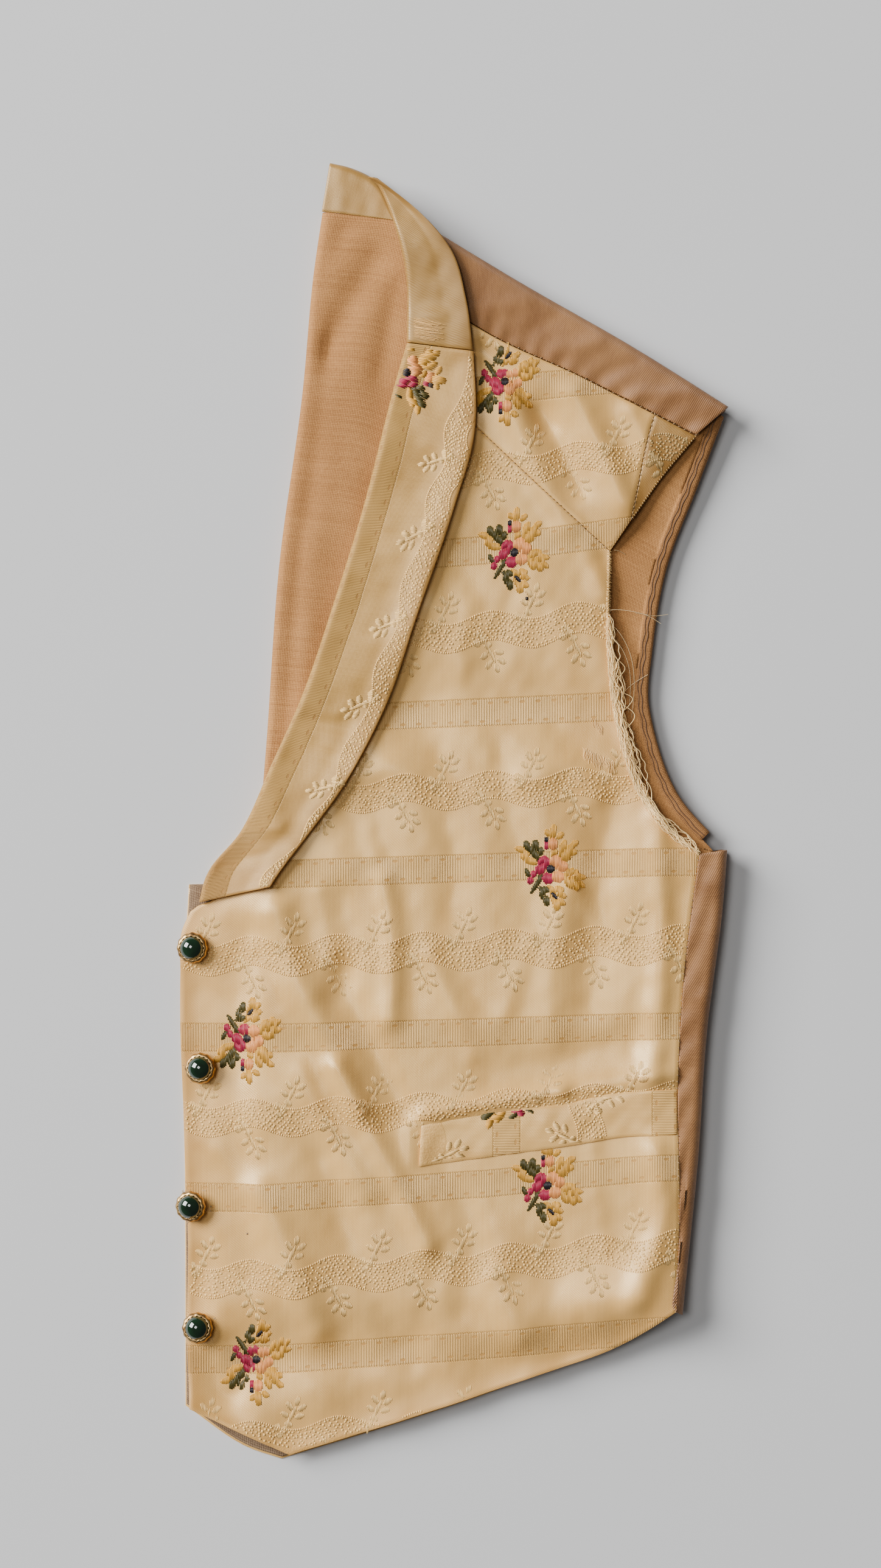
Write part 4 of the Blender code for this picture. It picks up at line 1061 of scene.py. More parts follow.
def lay_collar(name, table, count, finish, node, banded):
    """One length of the collar, and its fall's grid, which things are laid on."""
    roll, edge = collar_stations(table, count)
    outward = towards(roll, edge)
    width = np.linalg.norm(edge - roll, axis=1)
    along = np.concatenate([[0.0], np.cumsum(np.linalg.norm(np.diff(roll, axis=0), axis=1))])

    def fall_low(plan):
        inside = np.linalg.norm(plan - roll[:, None], axis=-1) - ROLL_RADIUS
        left_over = width[:, None] - ROLL_RADIUS - inside
        near_roll = ROLL_LIFT * np.exp(-inside / ROLL_LIFT_REACH)
        near_edge = EDGE_LIFT * ease(1.0 - left_over / EDGE_LIFT_REACH)
        lift = FALL_LIFT + near_roll + near_edge + fold_height(COLLAR_FOLDS, plan)
        lift += ripple(plan, 12.0, 0.06, 31)
        return front_top(plan) + SEAM_GAP + np.maximum(lift, 0.0)

    fall = between(edge, roll + ROLL_RADIUS * outward, 30)
    low = fall_low(fall) + (COLLAR_WALL - COLLAR_THICKNESS)
    low_at_roll = front_low(fall[:, -1])
    outer, inner = half_turn(
        roll, outward, low[:, -1] + COLLAR_THICKNESS, low_at_roll, COLLAR_THICKNESS, 11
    )
    radius = 0.5 * (low[:, -1] + COLLAR_THICKNESS - low_at_roll)[:, None]
    stand_reach = np.minimum(stand_width(roll), width - 1.0)[:, None]
    stand_end = roll + np.maximum(stand_reach, radius + SEAM_GAP) * outward
    stand = between(roll + radius * outward, stand_end, 5)[:, 1:]
    stand_low = front_low(stand)
    fall_face = raised(fall, low + COLLAR_THICKNESS)
    outer = np.concatenate([fall_face[:, :-1], outer, raised(stand, stand_low)], axis=1)
    inner = np.concatenate(
        [raised(fall, low)[:, :-1], inner, raised(stand, stand_low + COLLAR_THICKNESS)], axis=1
    )
    from_edge = spread(outer)[..., 1]
    across = width[:, None] - from_edge
    weave = collar_weave(along[:, None] + 0 * across, across)
    if not banded:
        weave[..., 1] = PLAIN_BANDLESS_T + 0.15 * across
    soil = 0.7 * np.exp(-((from_edge / COLLAR_SOIL_REACH) ** 2))
    if banded:
        from_end = (along[-1] - along)[:, None]
        soil = np.maximum(soil, 0.8 * np.exp(-((from_end / COLLAR_END_SOIL) ** 2)))
    piece = cloth(name, outer, inner, weave, finish, soil)
    lay_sheet(piece, outer, [node])
    return fall_face, along, width


PLAIN_SILK = silk_finish(
    "plain yellow silk", (0.45, 0.25, 0.066), (0.25, 0.125, 0.028), (0.22, 0.105, 0.022), 0.45, 0.0,
    0.08,
)
COLLAR_SILK = silk_finish(
    "brocaded collar silk", (0.66, 0.38, 0.105), (0.39, 0.20, 0.046), (0.34, 0.16, 0.034), 0.4, 1.0,
    0.08,
)
UPPER_FALL, _, _ = lay_collar(
    "collar_left_upper_silk", COLLAR_UPPER, 60, PLAIN_SILK, "collar_left_upper", False
)
LOWER_FALL, LOWER_ALONG, LOWER_WIDTH = lay_collar(
    "collar_left_lower_silk", COLLAR_LOWER, 200, COLLAR_SILK, "collar_left_lower", True
)

STAND_TOP = ((-40.0, 208.6), (-33.0, 206.8), (-24.6, 202.2), (-19.4, 192.6))
COLLAR_BEHIND_LOW = ((-20.0, 191.8), (-14.0, 188.6), (-8.8, 187.0))
COLLAR_BEHIND_TOP = ((-23.0, 200.8), (-14.0, 192.9), (-8.2, 188.2))
stand_edge = smooth_line(STAND_TOP, 40)
stand_seam = smooth_line([(x, y + SEAM_GAP) for x, y in NECK_SEAM[:3]], 40)


def stand_face(plan):
    return lining_top(plan) - LINING_WALL + COLLAR_WALL + ripple(plan, 7.0, 0.08, 17)


def on_right_front(plan):
    return np.full(plan.shape[:-1], RIGHT_FRONT_TOP)


folded_strip(
    "collar_stand_silk", stand_edge, stand_seam, stand_face, on_right_front, COLLAR_THICKNESS,
    PLAIN_SILK, ["collar_stand"],
)
below, above = smooth_line(COLLAR_BEHIND_LOW, 24), smooth_line(COLLAR_BEHIND_TOP, 24)
plan = between(below, above, 8)
face = raised(plan, front_low(plan) - SEAM_GAP)
low = face - (0.0, 0.0, COLLAR_THICKNESS)
behind = cloth("collar_behind_neck", face, low, spread(face), PLAIN_SILK)
lay_sheet(behind, face, ["collar_back_folded"])

roll, edge = collar_stations(COLLAR_LOWER, 90)
keep = roll[:, 1] > RIGHT_COLLAR_END_Y - 1.0
plan = between(roll[keep], edge[keep] - (HIDDEN_GAP, 0.0), 14)
face = raised(plan, SILK_WALL)
weave = spread(face)
weave = collar_weave(weave[..., 0], weave[..., 1])
piece = cloth("collar_right_lower_silk", face, raised(plan, 0.0), weave, COLLAR_SILK)
lay_sheet(piece, face, ["collar_right_lower"])
roll, edge = collar_stations(COLLAR_UPPER[1:], 40)
plan = between(roll, edge - (HIDDEN_GAP, 0.0), 12)
face = raised(plan, SILK_WALL)
weave = spread(face)
weave[..., 1] = PLAIN_BANDLESS_T + 0.15 * weave[..., 1]
piece = cloth("collar_right_upper_silk", face, raised(plan, 0.0), weave, PLAIN_SILK)
lay_sheet(piece, face, ["collar_right_upper"])

# The pocket welt: a strip of the same silk with its bands upright, sewn on all round.
# Columns of WELT: lower edge x, y, upper edge x, y
WELT = (
    (-11.4, -113.6, -10.6, -99.9), (12.4, -110.3, 10.0, -95.6), (38.5, -106.6, 35.6, -93.6),
    (52.0, -104.3, 50.0, -90.3), (70.9, -103.1, 70.9, -88.9),
)
WELT_RISE = 0.35
WELT_BAND_X = 16.6
WELT_SWELL = 0.25

both = smooth_line(WELT, 76)
welt_plan = np.swapaxes(between(both[:, :2], both[:, 2:], 16), 0, 1)


def welt_level(plan):
    """The upper face of the welt at its edges."""
    return front_top(plan) - fold_height(WELT_PUFFS, plan) + WELT_RISE + ripple(plan, 6.0, 0.08, 41)


edge_share = np.abs(np.linspace(-1.0, 1.0, len(welt_plan)))[:, None]
swell = WELT_SWELL * (1.0 - edge_share**4)
face = raised(welt_plan, welt_level(welt_plan) + swell)
weave = np.stack(
    [welt_plan[..., 1], welt_plan[..., 0] - WELT_BAND_X, welt_plan[..., 1] - 4.0], axis=-1
)
welt = cloth("pocket_welt_silk", face, face - (0.0, 0.0, 0.5), weave, CREAM_SILK)
lay_sheet(welt, face, ["pocket_welt_left"])

# The figures woven into the silk: brocaded sprigs in coloured silks, and lace ribbons and
# leaves in the ground's own cream. Each is made of short threads that float on the satin.
THREAD_STEP = 0.42
CHART_STEP = 0.12
LONGEST_FLOAT = 5.2
EVEN_BREADTH = 0.45
OCHRE, OLIVE, CRIMSON, PEACH, BLACK, CREAM = range(6)
SILKS = np.array([
    (0.72, 0.36, 0.050), (0.075, 0.060, 0.014), (0.40, 0.020, 0.060), (0.88, 0.34, 0.095),
    (0.020, 0.014, 0.016), (0.90, 0.57, 0.20),
])


class Petal(NamedTuple):
    """An oval of floats: its middle, its length and breadth, its turn in degrees, its silk."""

    x: float
    y: float
    length: float
    breadth: float
    turn: float
    silk: int


BOUQUET = (
    Petal(0.8, 12.6, 4.6, 1.8, 88, OCHRE), Petal(-1.0, 12.2, 2.8, 1.4, 140, OCHRE),
    Petal(3.0, 11.2, 2.8, 1.4, 42, OCHRE), Petal(0.6, 10.6, 2.4, 1.2, 95, OCHRE),
    Petal(5.2, 6.2, 7.0, 1.8, 40, OCHRE), Petal(3.8, 7.4, 4.8, 1.9, 68, OCHRE),
    Petal(6.9, 5.5, 3.6, 1.7, 8, OCHRE), Petal(4.7, 3.9, 3.8, 2.0, 5, OCHRE),
    Petal(1.0, 5.4, 3.6, 1.5, 75, OCHRE), Petal(7.6, 8.4, 2.8, 1.5, 28, OCHRE),
    Petal(7.6, -3.4, 8.4, 1.9, -33, OCHRE), Petal(6.9, -0.5, 4.4, 1.8, -6, OCHRE),
    Petal(9.5, -2.3, 3.6, 1.5, -15, OCHRE), Petal(5.7, -3.9, 4.2, 2.1, -60, OCHRE),
    Petal(8.1, -5.2, 3.0, 1.6, -70, OCHRE),
    Petal(1.0, -8.2, 7.2, 2.0, -72, OCHRE), Petal(2.7, -5.9, 3.2, 1.7, -20, OCHRE),
    Petal(3.5, -7.8, 3.0, 1.6, -25, OCHRE), Petal(3.3, -9.9, 3.0, 1.6, -40, OCHRE),
    Petal(-0.8, -5.6, 2.4, 1.4, -120, OCHRE), Petal(1.9, -11.2, 2.8, 2.0, -80, OCHRE),
    Petal(-9.4, 7.0, 4.4, 1.7, 160, OCHRE), Petal(-7.4, 6.0, 2.6, 1.4, 150, OCHRE),
    Petal(-8.3, 4.5, 3.2, 1.7, 150, OCHRE), Petal(-6.3, 3.1, 4.8, 1.8, 165, OCHRE),
    Petal(-7.6, 8.2, 3.6, 1.7, 110, OLIVE), Petal(-4.9, 8.2, 3.8, 2.0, 85, OLIVE),
    Petal(-3.3, 6.2, 2.9, 1.6, 70, OLIVE), Petal(-5.5, 5.9, 5.2, 1.8, 125, OLIVE),
    Petal(-4.0, 3.8, 3.4, 0.9, 110, OLIVE),
    Petal(-2.6, -7.6, 3.4, 1.5, -80, OLIVE), Petal(-1.6, -5.8, 2.8, 1.4, -40, OLIVE),
    Petal(-1.3, -9.4, 3.6, 1.6, -85, OLIVE), Petal(-2.9, -5.7, 2.4, 1.2, -40, OLIVE),
    Petal(-4.5, -4.2, 6.8, 1.1, 56, OLIVE), Petal(-3.4, -2.3, 3.2, 1.2, 80, OLIVE),
    Petal(-7.4, -0.6, 3.4, 1.0, 115, OLIVE), Petal(-6.2, -2.2, 2.4, 0.9, 120, OLIVE),
    Petal(-2.2, 2.3, 4.8, 3.6, 80, CRIMSON), Petal(-3.4, 0.3, 3.4, 2.8, 0, CRIMSON),
    Petal(-0.8, -2.4, 3.8, 3.4, 0, CRIMSON), Petal(-5.5, -1.0, 1.9, 1.9, 0, CRIMSON),
    Petal(-6.5, -3.0, 2.0, 2.0, 0, CRIMSON), Petal(-1.1, 8.3, 3.0, 1.7, 80, CRIMSON),
    Petal(1.7, 2.5, 4.8, 3.6, 100, PEACH), Petal(3.6, 1.1, 3.8, 3.4, 60, PEACH),
    Petal(2.4, -2.0, 3.8, 3.5, 90, PEACH), Petal(0.7, 8.5, 3.8, 2.8, 95, PEACH),
    Petal(0.0, 0.4, 2.6, 2.3, 0, BLACK), Petal(-1.4, 10.0, 1.8, 1.0, 100, BLACK),
    Petal(1.2, -7.9, 2.8, 0.7, -50, BLACK),
)
LEAF_SPRIG = (
    Petal(-3.0, 0.2, 2.6, 2.2, 20, CREAM), Petal(-0.8, -0.8, 2.3, 2.3, 0, CREAM),
    Petal(-2.2, -2.4, 2.2, 1.9, 0, CREAM), Petal(0.5, 1.0, 2.0, 2.2, 60, CREAM),
    Petal(1.6, 3.9, 6.6, 0.7, 62, CREAM), Petal(-0.6, 4.3, 3.0, 1.4, 138, CREAM),
    Petal(4.1, 3.4, 3.0, 1.4, 18, CREAM), Petal(0.9, 7.0, 3.4, 1.4, 118, CREAM),
    Petal(4.9, 6.2, 3.2, 1.4, 40, CREAM), Petal(3.4, 8.4, 3.0, 1.3, 74, CREAM),
)


class Placed(NamedTuple):
    """Where a figure lies on the silk: s, t, and the signs that mirror it."""

    s: float
    t: float
    mirror_s: int
    mirror_t: int


def chart(petals):
    """The upright floats that fill the petals, later petals on top. Columns: x, y, length, silk."""
    x = np.arange(-14.0, 14.0, THREAD_STEP)
    y = np.arange(-18.0, 18.0, CHART_STEP)
    grid = np.full((len(x), len(y)), -1)
    for petal in petals:
        turn = math.radians(petal.turn)
        from_x, from_y = x[:, None] - petal.x, y[None, :] - petal.y
        along = (from_x * math.cos(turn) + from_y * math.sin(turn)) / (0.5 * petal.length)
        beside = from_y * math.cos(turn) - from_x * math.sin(turn)
        beside /= 0.5 * (petal.breadth + EVEN_BREADTH)
        grid[along**2 + beside**2 < 1.0] = petal.silk
    floats = []
    for column, place in zip(grid, x):
        ends = np.flatnonzero(np.diff(column, prepend=-2, append=-2))
        for start, end in zip(ends[:-1], ends[1:]):
            if column[start] < 0 or end - start < 3:
                continue
            reach = (end - start) * CHART_STEP
            pieces = math.ceil(reach / LONGEST_FLOAT)
            cuts = np.linspace(0.0, reach, pieces + 1)
            cuts[1:-1] += 0.16 * reach / pieces * (1 if len(floats) % 2 else -1)
            for low, high in zip(cuts[:-1], cuts[1:]):
                floats.append((place, y[start] + 0.5 * (low + high), high - low, column[start]))
    return np.array(floats)


def outline_of(plan):
    """The border of a plan grid, thinned out."""
    return joined(plan[0], plan[:, -1], plan[-1, ::-1], plan[::-1, 0])[::4]


def inside_of(outline, plan, margin):
    """Which plan points lie in an outline, at least a margin from it."""
    x, y = plan[..., 0], plan[..., 1]
    crossings = np.zeros(x.shape, bool)
    for (x0, y0), (x1, y1) in zip(outline, np.roll(outline, -1, axis=0)):
        spans = (y0 > y) != (y1 > y)
        step = (y1 - y0) if y1 != y0 else 1.0
        crossings ^= spans & (x < x0 + (y - y0) * (x1 - x0) / step)
    return crossings & (distance_to(np.vstack([outline, outline[:1]]), plan) > margin)


def node_tree(name, inputs):
    """A Geometry Nodes tree with named inputs. Each input is its socket kind and its value."""
    tree = bpy.data.node_groups.new(name, "GeometryNodeTree")
    sockets = tree.interface
    sockets.new_socket("Geometry", in_out="INPUT", socket_type="NodeSocketGeometry")
    for title, (kind, value) in inputs.items():
        made = sockets.new_socket(title, in_out="INPUT", socket_type="NodeSocket" + kind)
        if value is not None:
            made.default_value = value
    sockets.new_socket("Geometry", in_out="OUTPUT", socket_type="NodeSocketGeometry")
    return tree, tree.nodes.new("NodeGroupInput").outputs


def plug(tree, kind, settings, inputs):
    """One node of a tree, with its settings and its inputs, which are values or outputs."""
    made = tree.nodes.new(kind)
    for name, value in settings.items():
        setattr(made, name, value)
    for name, value in inputs.items():
        if isinstance(value, bpy.types.NodeSocket):
            tree.links.new(value, made.inputs[name])
        else:
            made.inputs[name].default_value = value
    return made.outputs


def finish_tree(tree, mesh, finish):
    """Plain smooth geometry in one material, as the tree's output."""
    real = plug(tree, "GeometryNodeRealizeInstances", {}, {"Geometry": mesh})[0]
    smooth = plug(tree, "GeometryNodeSetShadeSmooth", {}, {"Geometry": real})[0]
    inputs = {"Geometry": smooth, "Material": finish}
    painted = plug(tree, "GeometryNodeSetMaterial", {}, inputs)[0]
    tree.links.new(painted, tree.nodes.new("NodeGroupOutput").inputs[0])
    return tree


def floats_tree():
    """Short threads: a plump rod on each point, with the point's size and turn."""
    inputs = {"Sides": ("Int", 5), "Finish": ("Material", None)}
    tree, given = node_tree("floating threads", inputs)
    inputs = {"Vertices": given["Sides"], "Radius": 0.5, "Depth": 1.0}
    rod = plug(tree, "GeometryNodeMeshCylinder", {}, inputs)[0]
    vectors = {"data_type": "FLOAT_VECTOR"}
    size = plug(tree, "GeometryNodeInputNamedAttribute", vectors, {"Name": "size"})[0]
    turn = plug(tree, "GeometryNodeInputNamedAttribute", vectors, {"Name": "turn"})[0]
    inputs = {"Points": given["Geometry"], "Instance": rod, "Rotation": turn, "Scale": size}
    laid = plug(tree, "GeometryNodeInstanceOnPoints", {}, inputs)[0]
    return finish_tree(tree, laid, given["Finish"])


def grown(name, mesh, tree, inputs):
    """The plain piece that a tree makes of a mesh. inputs are the values of its named inputs."""
    piece = bpy.data.objects.new(name, mesh)
    bpy.context.scene.collection.objects.link(piece)
    modifier = piece.modifiers.new(tree.name, "NODES")
    modifier.node_group = tree
    for item in tree.interface.items_tree:
        if item.name in inputs:
            modifier[item.identifier] = inputs[item.name]
    seen = piece.evaluated_get(bpy.context.evaluated_depsgraph_get())
    piece.data = bpy.data.meshes.new_from_object(seen)
    piece.modifiers.clear()
    return piece


def with_values(name, points, edges, **values):
    """A mesh of points in millimetres, with edges, and a value for each point."""
    mesh = bpy.data.meshes.new(name)
    mesh.from_pydata((np.asarray(points) * MM).tolist(), edges, [])
    for title, numbers in values.items():
        if title == "tone":
            numbers = np.concatenate([numbers, np.ones((len(numbers), 1))], axis=1)
            kept, field = mesh.attributes.new(title, "FLOAT_COLOR", "POINT"), "color"
        else:
            kept, field = mesh.attributes.new(title, "FLOAT_VECTOR", "POINT"), "vector"
        kept.data.foreach_set(field, numbers.astype(np.float32).ravel())
    return mesh


def thread_finish(name, roughness, gloss):
    """Silk thread in the colour that each point carries."""
    made = Finish(name, roughness=roughness, specular_ior_level=gloss)
    colour = made.node("Attribute", {"attribute_name": "tone"}, {}, "Color")
    return made.done(colour)


FLOAT_SILK = thread_finish("floating silk", 0.42, 0.45)
FLOATS = floats_tree()
FLOAT_SEAT = 0.02
NEIGHBOUR = 0.4


def lay_floats(name, rows, surface):
    """Threads on a surface. Columns of rows: s, t, width, length, height, lean, then colour."""
    st, size = rows[:, :2], rows[:, 2:5]
    across = surface(st + (NEIGHBOUR, 0.0)) - surface(st - (NEIGHBOUR, 0.0))
    along = surface(st + (0.0, NEIGHBOUR)) - surface(st - (0.0, NEIGHBOUR))
    along /= np.linalg.norm(along, axis=1)[:, None]
    out = np.cross(across, along)
    out /= np.linalg.norm(out, axis=1)[:, None]
    out *= np.sign(out[:, 2:])
    lean = rows[:, 5:6]
    along = along * np.cos(lean) + np.cross(out, along) * np.sin(lean)
    side = np.cross(out, along)
    places = surface(st) + FLOAT_SEAT * out
    frames = np.stack([side, out, along], axis=2)
    turn = np.stack([
        np.arctan2(frames[:, 2, 1], frames[:, 2, 2]),
        -np.arcsin(np.clip(frames[:, 2, 0], -1.0, 1.0)),
        np.arctan2(frames[:, 1, 0], frames[:, 0, 0]),
    ], axis=1)
    thick = np.stack([size[:, 0], size[:, 2], size[:, 1]], axis=1) * MM
    mesh = with_values(name, places, [], size=thick, turn=turn, tone=rows[:, 6:9])
    piece = grown(name, mesh, FLOATS, {"Sides": 5, "Finish": FLOAT_SILK})
    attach(piece, "root")
    return piece


def on_front(st):
    plan = unwoven(st)
    return raised(plan, front_top(plan))


def figure_rows(charted, places, width, height, seed):
    """The floats of one figure at each of its places."""
    draw = np.random.default_rng(seed)
    rows = []
    for place in places:
        s = place.s + place.mirror_s * charted[:, 0]
        t = place.t + place.mirror_t * charted[:, 1]
        silk = SILKS[charted[:, 3].astype(int)] * draw.uniform(0.82, 1.12, (len(s), 1))
        lean = draw.normal(0.0, 0.03, len(s))
        tall = height * draw.uniform(0.8, 1.2, len(s))
        length = charted[:, 2] * draw.uniform(0.94, 1.1, len(s))
        sizes = np.stack([np.full(len(s), width), length, tall, lean], axis=1)
        rows.append(np.concatenate([s[:, None], t[:, None], sizes, silk], axis=1))
    return np.concatenate(rows)


def front_mask(st, margin):
    """Which silk places show on the front: in one of its cuts, and not under another piece."""
    plan = unwoven(st)
    cuts = [outline_of(grid) for grid in (FRONT_PLAN, SHOULDER_PLAN, CORNER_PLAN)]
    shown = np.any([inside_of(cut, plan, margin) for cut in cuts], axis=0)
    hidden = inside_of(outline_of(welt_plan), plan, 0.2)
    for table in (COLLAR_UPPER, COLLAR_LOWER):
        roll, edge = collar_stations(table, 60)
        hidden |= inside_of(outline_of(between(roll, edge, 5)), plan, 1.5)
    return shown & ~hidden


BOUQUET_CHART, SPRIG_CHART = chart(BOUQUET), chart(LEAF_SPRIG)
# The width and height of one float in a bouquet
BOUQUET_FLOAT = (0.48, 0.22)
# Columns: x, y, the sign that mirrors the bouquet upside down
BOUQUETS_ON_FRONT = (
    (16.0, 138.2, -1), (19.0, 82.6, 1), (30.7, -18.8, 1), (-66.8, -72.4, -1),
    (29.7, -120.2, 1), (-63.9, -175.8, -1),
)
places = [Placed(*woven(np.array((x, y)))[:2], 1, sign) for x, y, sign in BOUQUETS_ON_FRONT]
rows = figure_rows(BOUQUET_CHART, places, *BOUQUET_FLOAT, 51)
rows = rows[front_mask(rows[:, :2], 0.6)]
lay_floats("brocade_sprigs_front", rows, on_front)

# The lace ribbons and their leaves, tone on tone, between the ribbed bands.
PIP_PITCH_S, PIP_PITCH_T, PIP_ROWS = 1.42, 0.9, 4
OUTLINE_PITCH = 0.72
WORN_AWAY = 0.14
PIP_STRAY_S, PIP_STRAY_T = 0.22, 0.13
# The width, length and height of one float
PIP_SIZE, OUTLINE_SIZE = (0.80, 0.60, 0.20), (0.50, 0.55, 0.30)
OUTLINE_BRIGHT = 1.06
LEAF_FLOAT = (0.38, 0.10)
RIBBON_NUMBERS = range(-4, 4)


def ribbon_swing(s, phase):
    return RIBBON_SWING * np.cos(2 * math.pi * (s - phase) / RIBBON_WAVE)


def cream_rows(s, t, width, length, height, seed, bright=1.0):
    """Cream floats at s and t, each a little unlike the next."""
    draw = np.random.default_rng(seed)
    count = len(s)
    unlike = draw.uniform(0.8, 1.25, (count, 3))
    sizes = np.array((width, length, height)) * unlike
    lean = draw.normal(0.0, 0.12, count)
    silk = bright * SILKS[CREAM] * draw.uniform(0.8, 1.18, (count, 1))
    return np.concatenate([s[:, None], t[:, None], sizes, lean[:, None], silk], axis=1)


def ribbon_rows(start, end, centre_t, phase, seed):
    """The pips and dotted edges of one lace ribbon from s = start to end."""
    draw = np.random.default_rng(seed)
    s, t = [], []
    for number in range(-PIP_ROWS, PIP_ROWS + 1):
        places = np.arange(start, end, PIP_PITCH_S) + 0.5 * PIP_PITCH_S * (number % 2)
        s.append(places + draw.normal(0.0, PIP_STRAY_S, len(places)))
        across = centre_t + ribbon_swing(places, phase) + number * PIP_PITCH_T
        t.append(across + draw.normal(0.0, PIP_STRAY_T, len(places)))
    kept = draw.random(sum(len(row) for row in s)) > WORN_AWAY
    pips = cream_rows(np.concatenate(s)[kept], np.concatenate(t)[kept], *PIP_SIZE, seed)
    places = np.arange(start, end, OUTLINE_PITCH)
    edges = []
    for side in (-1, 1):
        t = centre_t + ribbon_swing(places, phase) + side * RIBBON_HALF
        edges.append(cream_rows(places, t, *OUTLINE_SIZE, seed + side, OUTLINE_BRIGHT))
    return np.concatenate([pips, *edges])


def leaf_rows(start, end, centre_t, phase, seed, sides=(-1, 1)):
    """The leaf sprigs that grow out of a ribbon: above its troughs and below its crests."""
    places = []
    for number in range(-5, 6):
        crest = phase + number * RIBBON_WAVE
        for side in sides:
            s = crest + (0.5 * RIBBON_WAVE - 2.5 if side > 0 else -1.5)
            if start < s < end:
                t = centre_t + ribbon_swing(s, phase) + side * (RIBBON_HALF + 0.6)
                places.append(Placed(s, t, 1, side))
    return figure_rows(SPRIG_CHART, places, *LEAF_FLOAT, seed)


def toned(rows):
    """The same floats, darker on the tarnished corner piece."""
    in_corner = inside_of(outline_of(CORNER_PLAN), unwoven(rows[:, :2]), 0.0)
    rows[in_corner, 6:9] *= CORNER_TONE
    return rows


CORNER_TONE = 0.55
FRONT_START, FRONT_END = -90.0, 82.0
ribbons, leaves = [], []
for number in RIBBON_NUMBERS:
    centre_t = (number + 0.5) * BAND_PITCH
    phase = RIBBON_PHASE_ABOVE if centre_t > 0.0 else RIBBON_PHASE_BELOW
    ribbons.append(ribbon_rows(FRONT_START, FRONT_END, centre_t, phase, 60 + number))
    leaves.append(leaf_rows(FRONT_START, FRONT_END, centre_t, phase, 80 + number))
rows = np.concatenate(ribbons)
rows = toned(rows[front_mask(rows[:, :2], 0.8)])
lay_floats("lace_ribbons_front", rows, on_front)
rows = np.concatenate(leaves)
rows = toned(rows[front_mask(rows[:, :2], 0.8)])
lay_floats("lace_leaves_front", rows, on_front)

# The same figures on the collar and the welt, which were cut with the bands lengthways.
COLLAR_T = (-23.5, -3.5, BAND_HALF, 0.5 * BAND_PITCH, 46.5)
COLLAR_ACROSS = (-20.0, 0.0, COLLAR_BAND_EDGE, COLLAR_RIBBON_CENTRE, 45.0)


def on_collar(st):
    """The point of the lower collar's fall at the silk's s and t."""
    across = np.interp(st[:, 1], COLLAR_T, COLLAR_ACROSS)
    row = np.interp(st[:, 0], LOWER_ALONG, np.arange(len(LOWER_ALONG)))
    width = np.interp(row, np.arange(len(LOWER_WIDTH)), LOWER_WIDTH)
    last_row, last_column = LOWER_FALL.shape[0] - 1, LOWER_FALL.shape[1] - 1
    column = (width - across) / (width - ROLL_RADIUS) * last_column
    low_row = np.clip(row.astype(int), 0, last_row - 1)
    low_column = np.clip(np.floor(column).astype(int), 0, last_column - 1)
    v, u = (row - low_row)[:, None], (column - low_column)[:, None]
    corner = LOWER_FALL[low_row, low_column]
    next_row = LOWER_FALL[low_row + 1, low_column]
    next_column = LOWER_FALL[low_row, low_column + 1]
    return corner + v * (next_row - corner) + u * (next_column - corner)


def collar_mask(st, margin):
    across = np.interp(st[:, 1], COLLAR_T, COLLAR_ACROSS)
    width = np.interp(st[:, 0], LOWER_ALONG, LOWER_WIDTH)
    ends = (st[:, 0] > margin) & (st[:, 0] < LOWER_ALONG[-1] - margin)
    return ends & (across > ROLL_RADIUS + 0.2) & (across < width - margin)


COLLAR_PHASE = 8.0
COLLAR_BOUQUET = (Placed(8.9, -1.1, -1, 1),)
rows = np.concatenate([
    figure_rows(BOUQUET_CHART, COLLAR_BOUQUET, *BOUQUET_FLOAT, 101),
    ribbon_rows(0.0, LOWER_ALONG[-1], 0.5 * BAND_PITCH, COLLAR_PHASE, 102),
    leaf_rows(20.0, LOWER_ALONG[-1], 0.5 * BAND_PITCH, COLLAR_PHASE, 103, (-1,)),
])
lay_floats("figures_on_collar", rows[collar_mask(rows[:, :2], 0.9)], on_collar)


def on_welt(st):
    plan = np.stack([st[:, 1] + WELT_BAND_X, st[:, 0]], axis=-1)
    share = np.interp(plan[:, 0], both[:, 0], np.arange(len(both)))
    low_y = np.interp(share, np.arange(len(both)), both[:, 1])
    high_y = np.interp(share, np.arange(len(both)), both[:, 3])
    edge_share = np.abs(2.0 * (plan[:, 1] - low_y) / (high_y - low_y) - 1.0)
    swell = WELT_SWELL * (1.0 - edge_share**4)
    return raised(plan, welt_level(plan) + swell)


WELT_PHASE = -104.0
WELT_BOUQUET = (Placed(-90.0, 1.6, 1, -1),)
rows = np.concatenate([
    figure_rows(BOUQUET_CHART, WELT_BOUQUET, *BOUQUET_FLOAT, 111),
    ribbon_rows(-118.0, -86.0, 0.5 * BAND_PITCH, WELT_PHASE, 112),
    leaf_rows(-118.0, -86.0, 0.5 * BAND_PITCH, WELT_PHASE, 113),
    leaf_rows(-118.0, -86.0, -0.5 * BAND_PITCH, WELT_PHASE + 9.0, 114, (1,)),
])
plan = np.stack([rows[:, 1] + WELT_BAND_X, rows[:, 0]], axis=-1)
rows = rows[inside_of(outline_of(welt_plan), plan, 0.8)]
lay_floats("figures_on_welt", rows, on_welt)

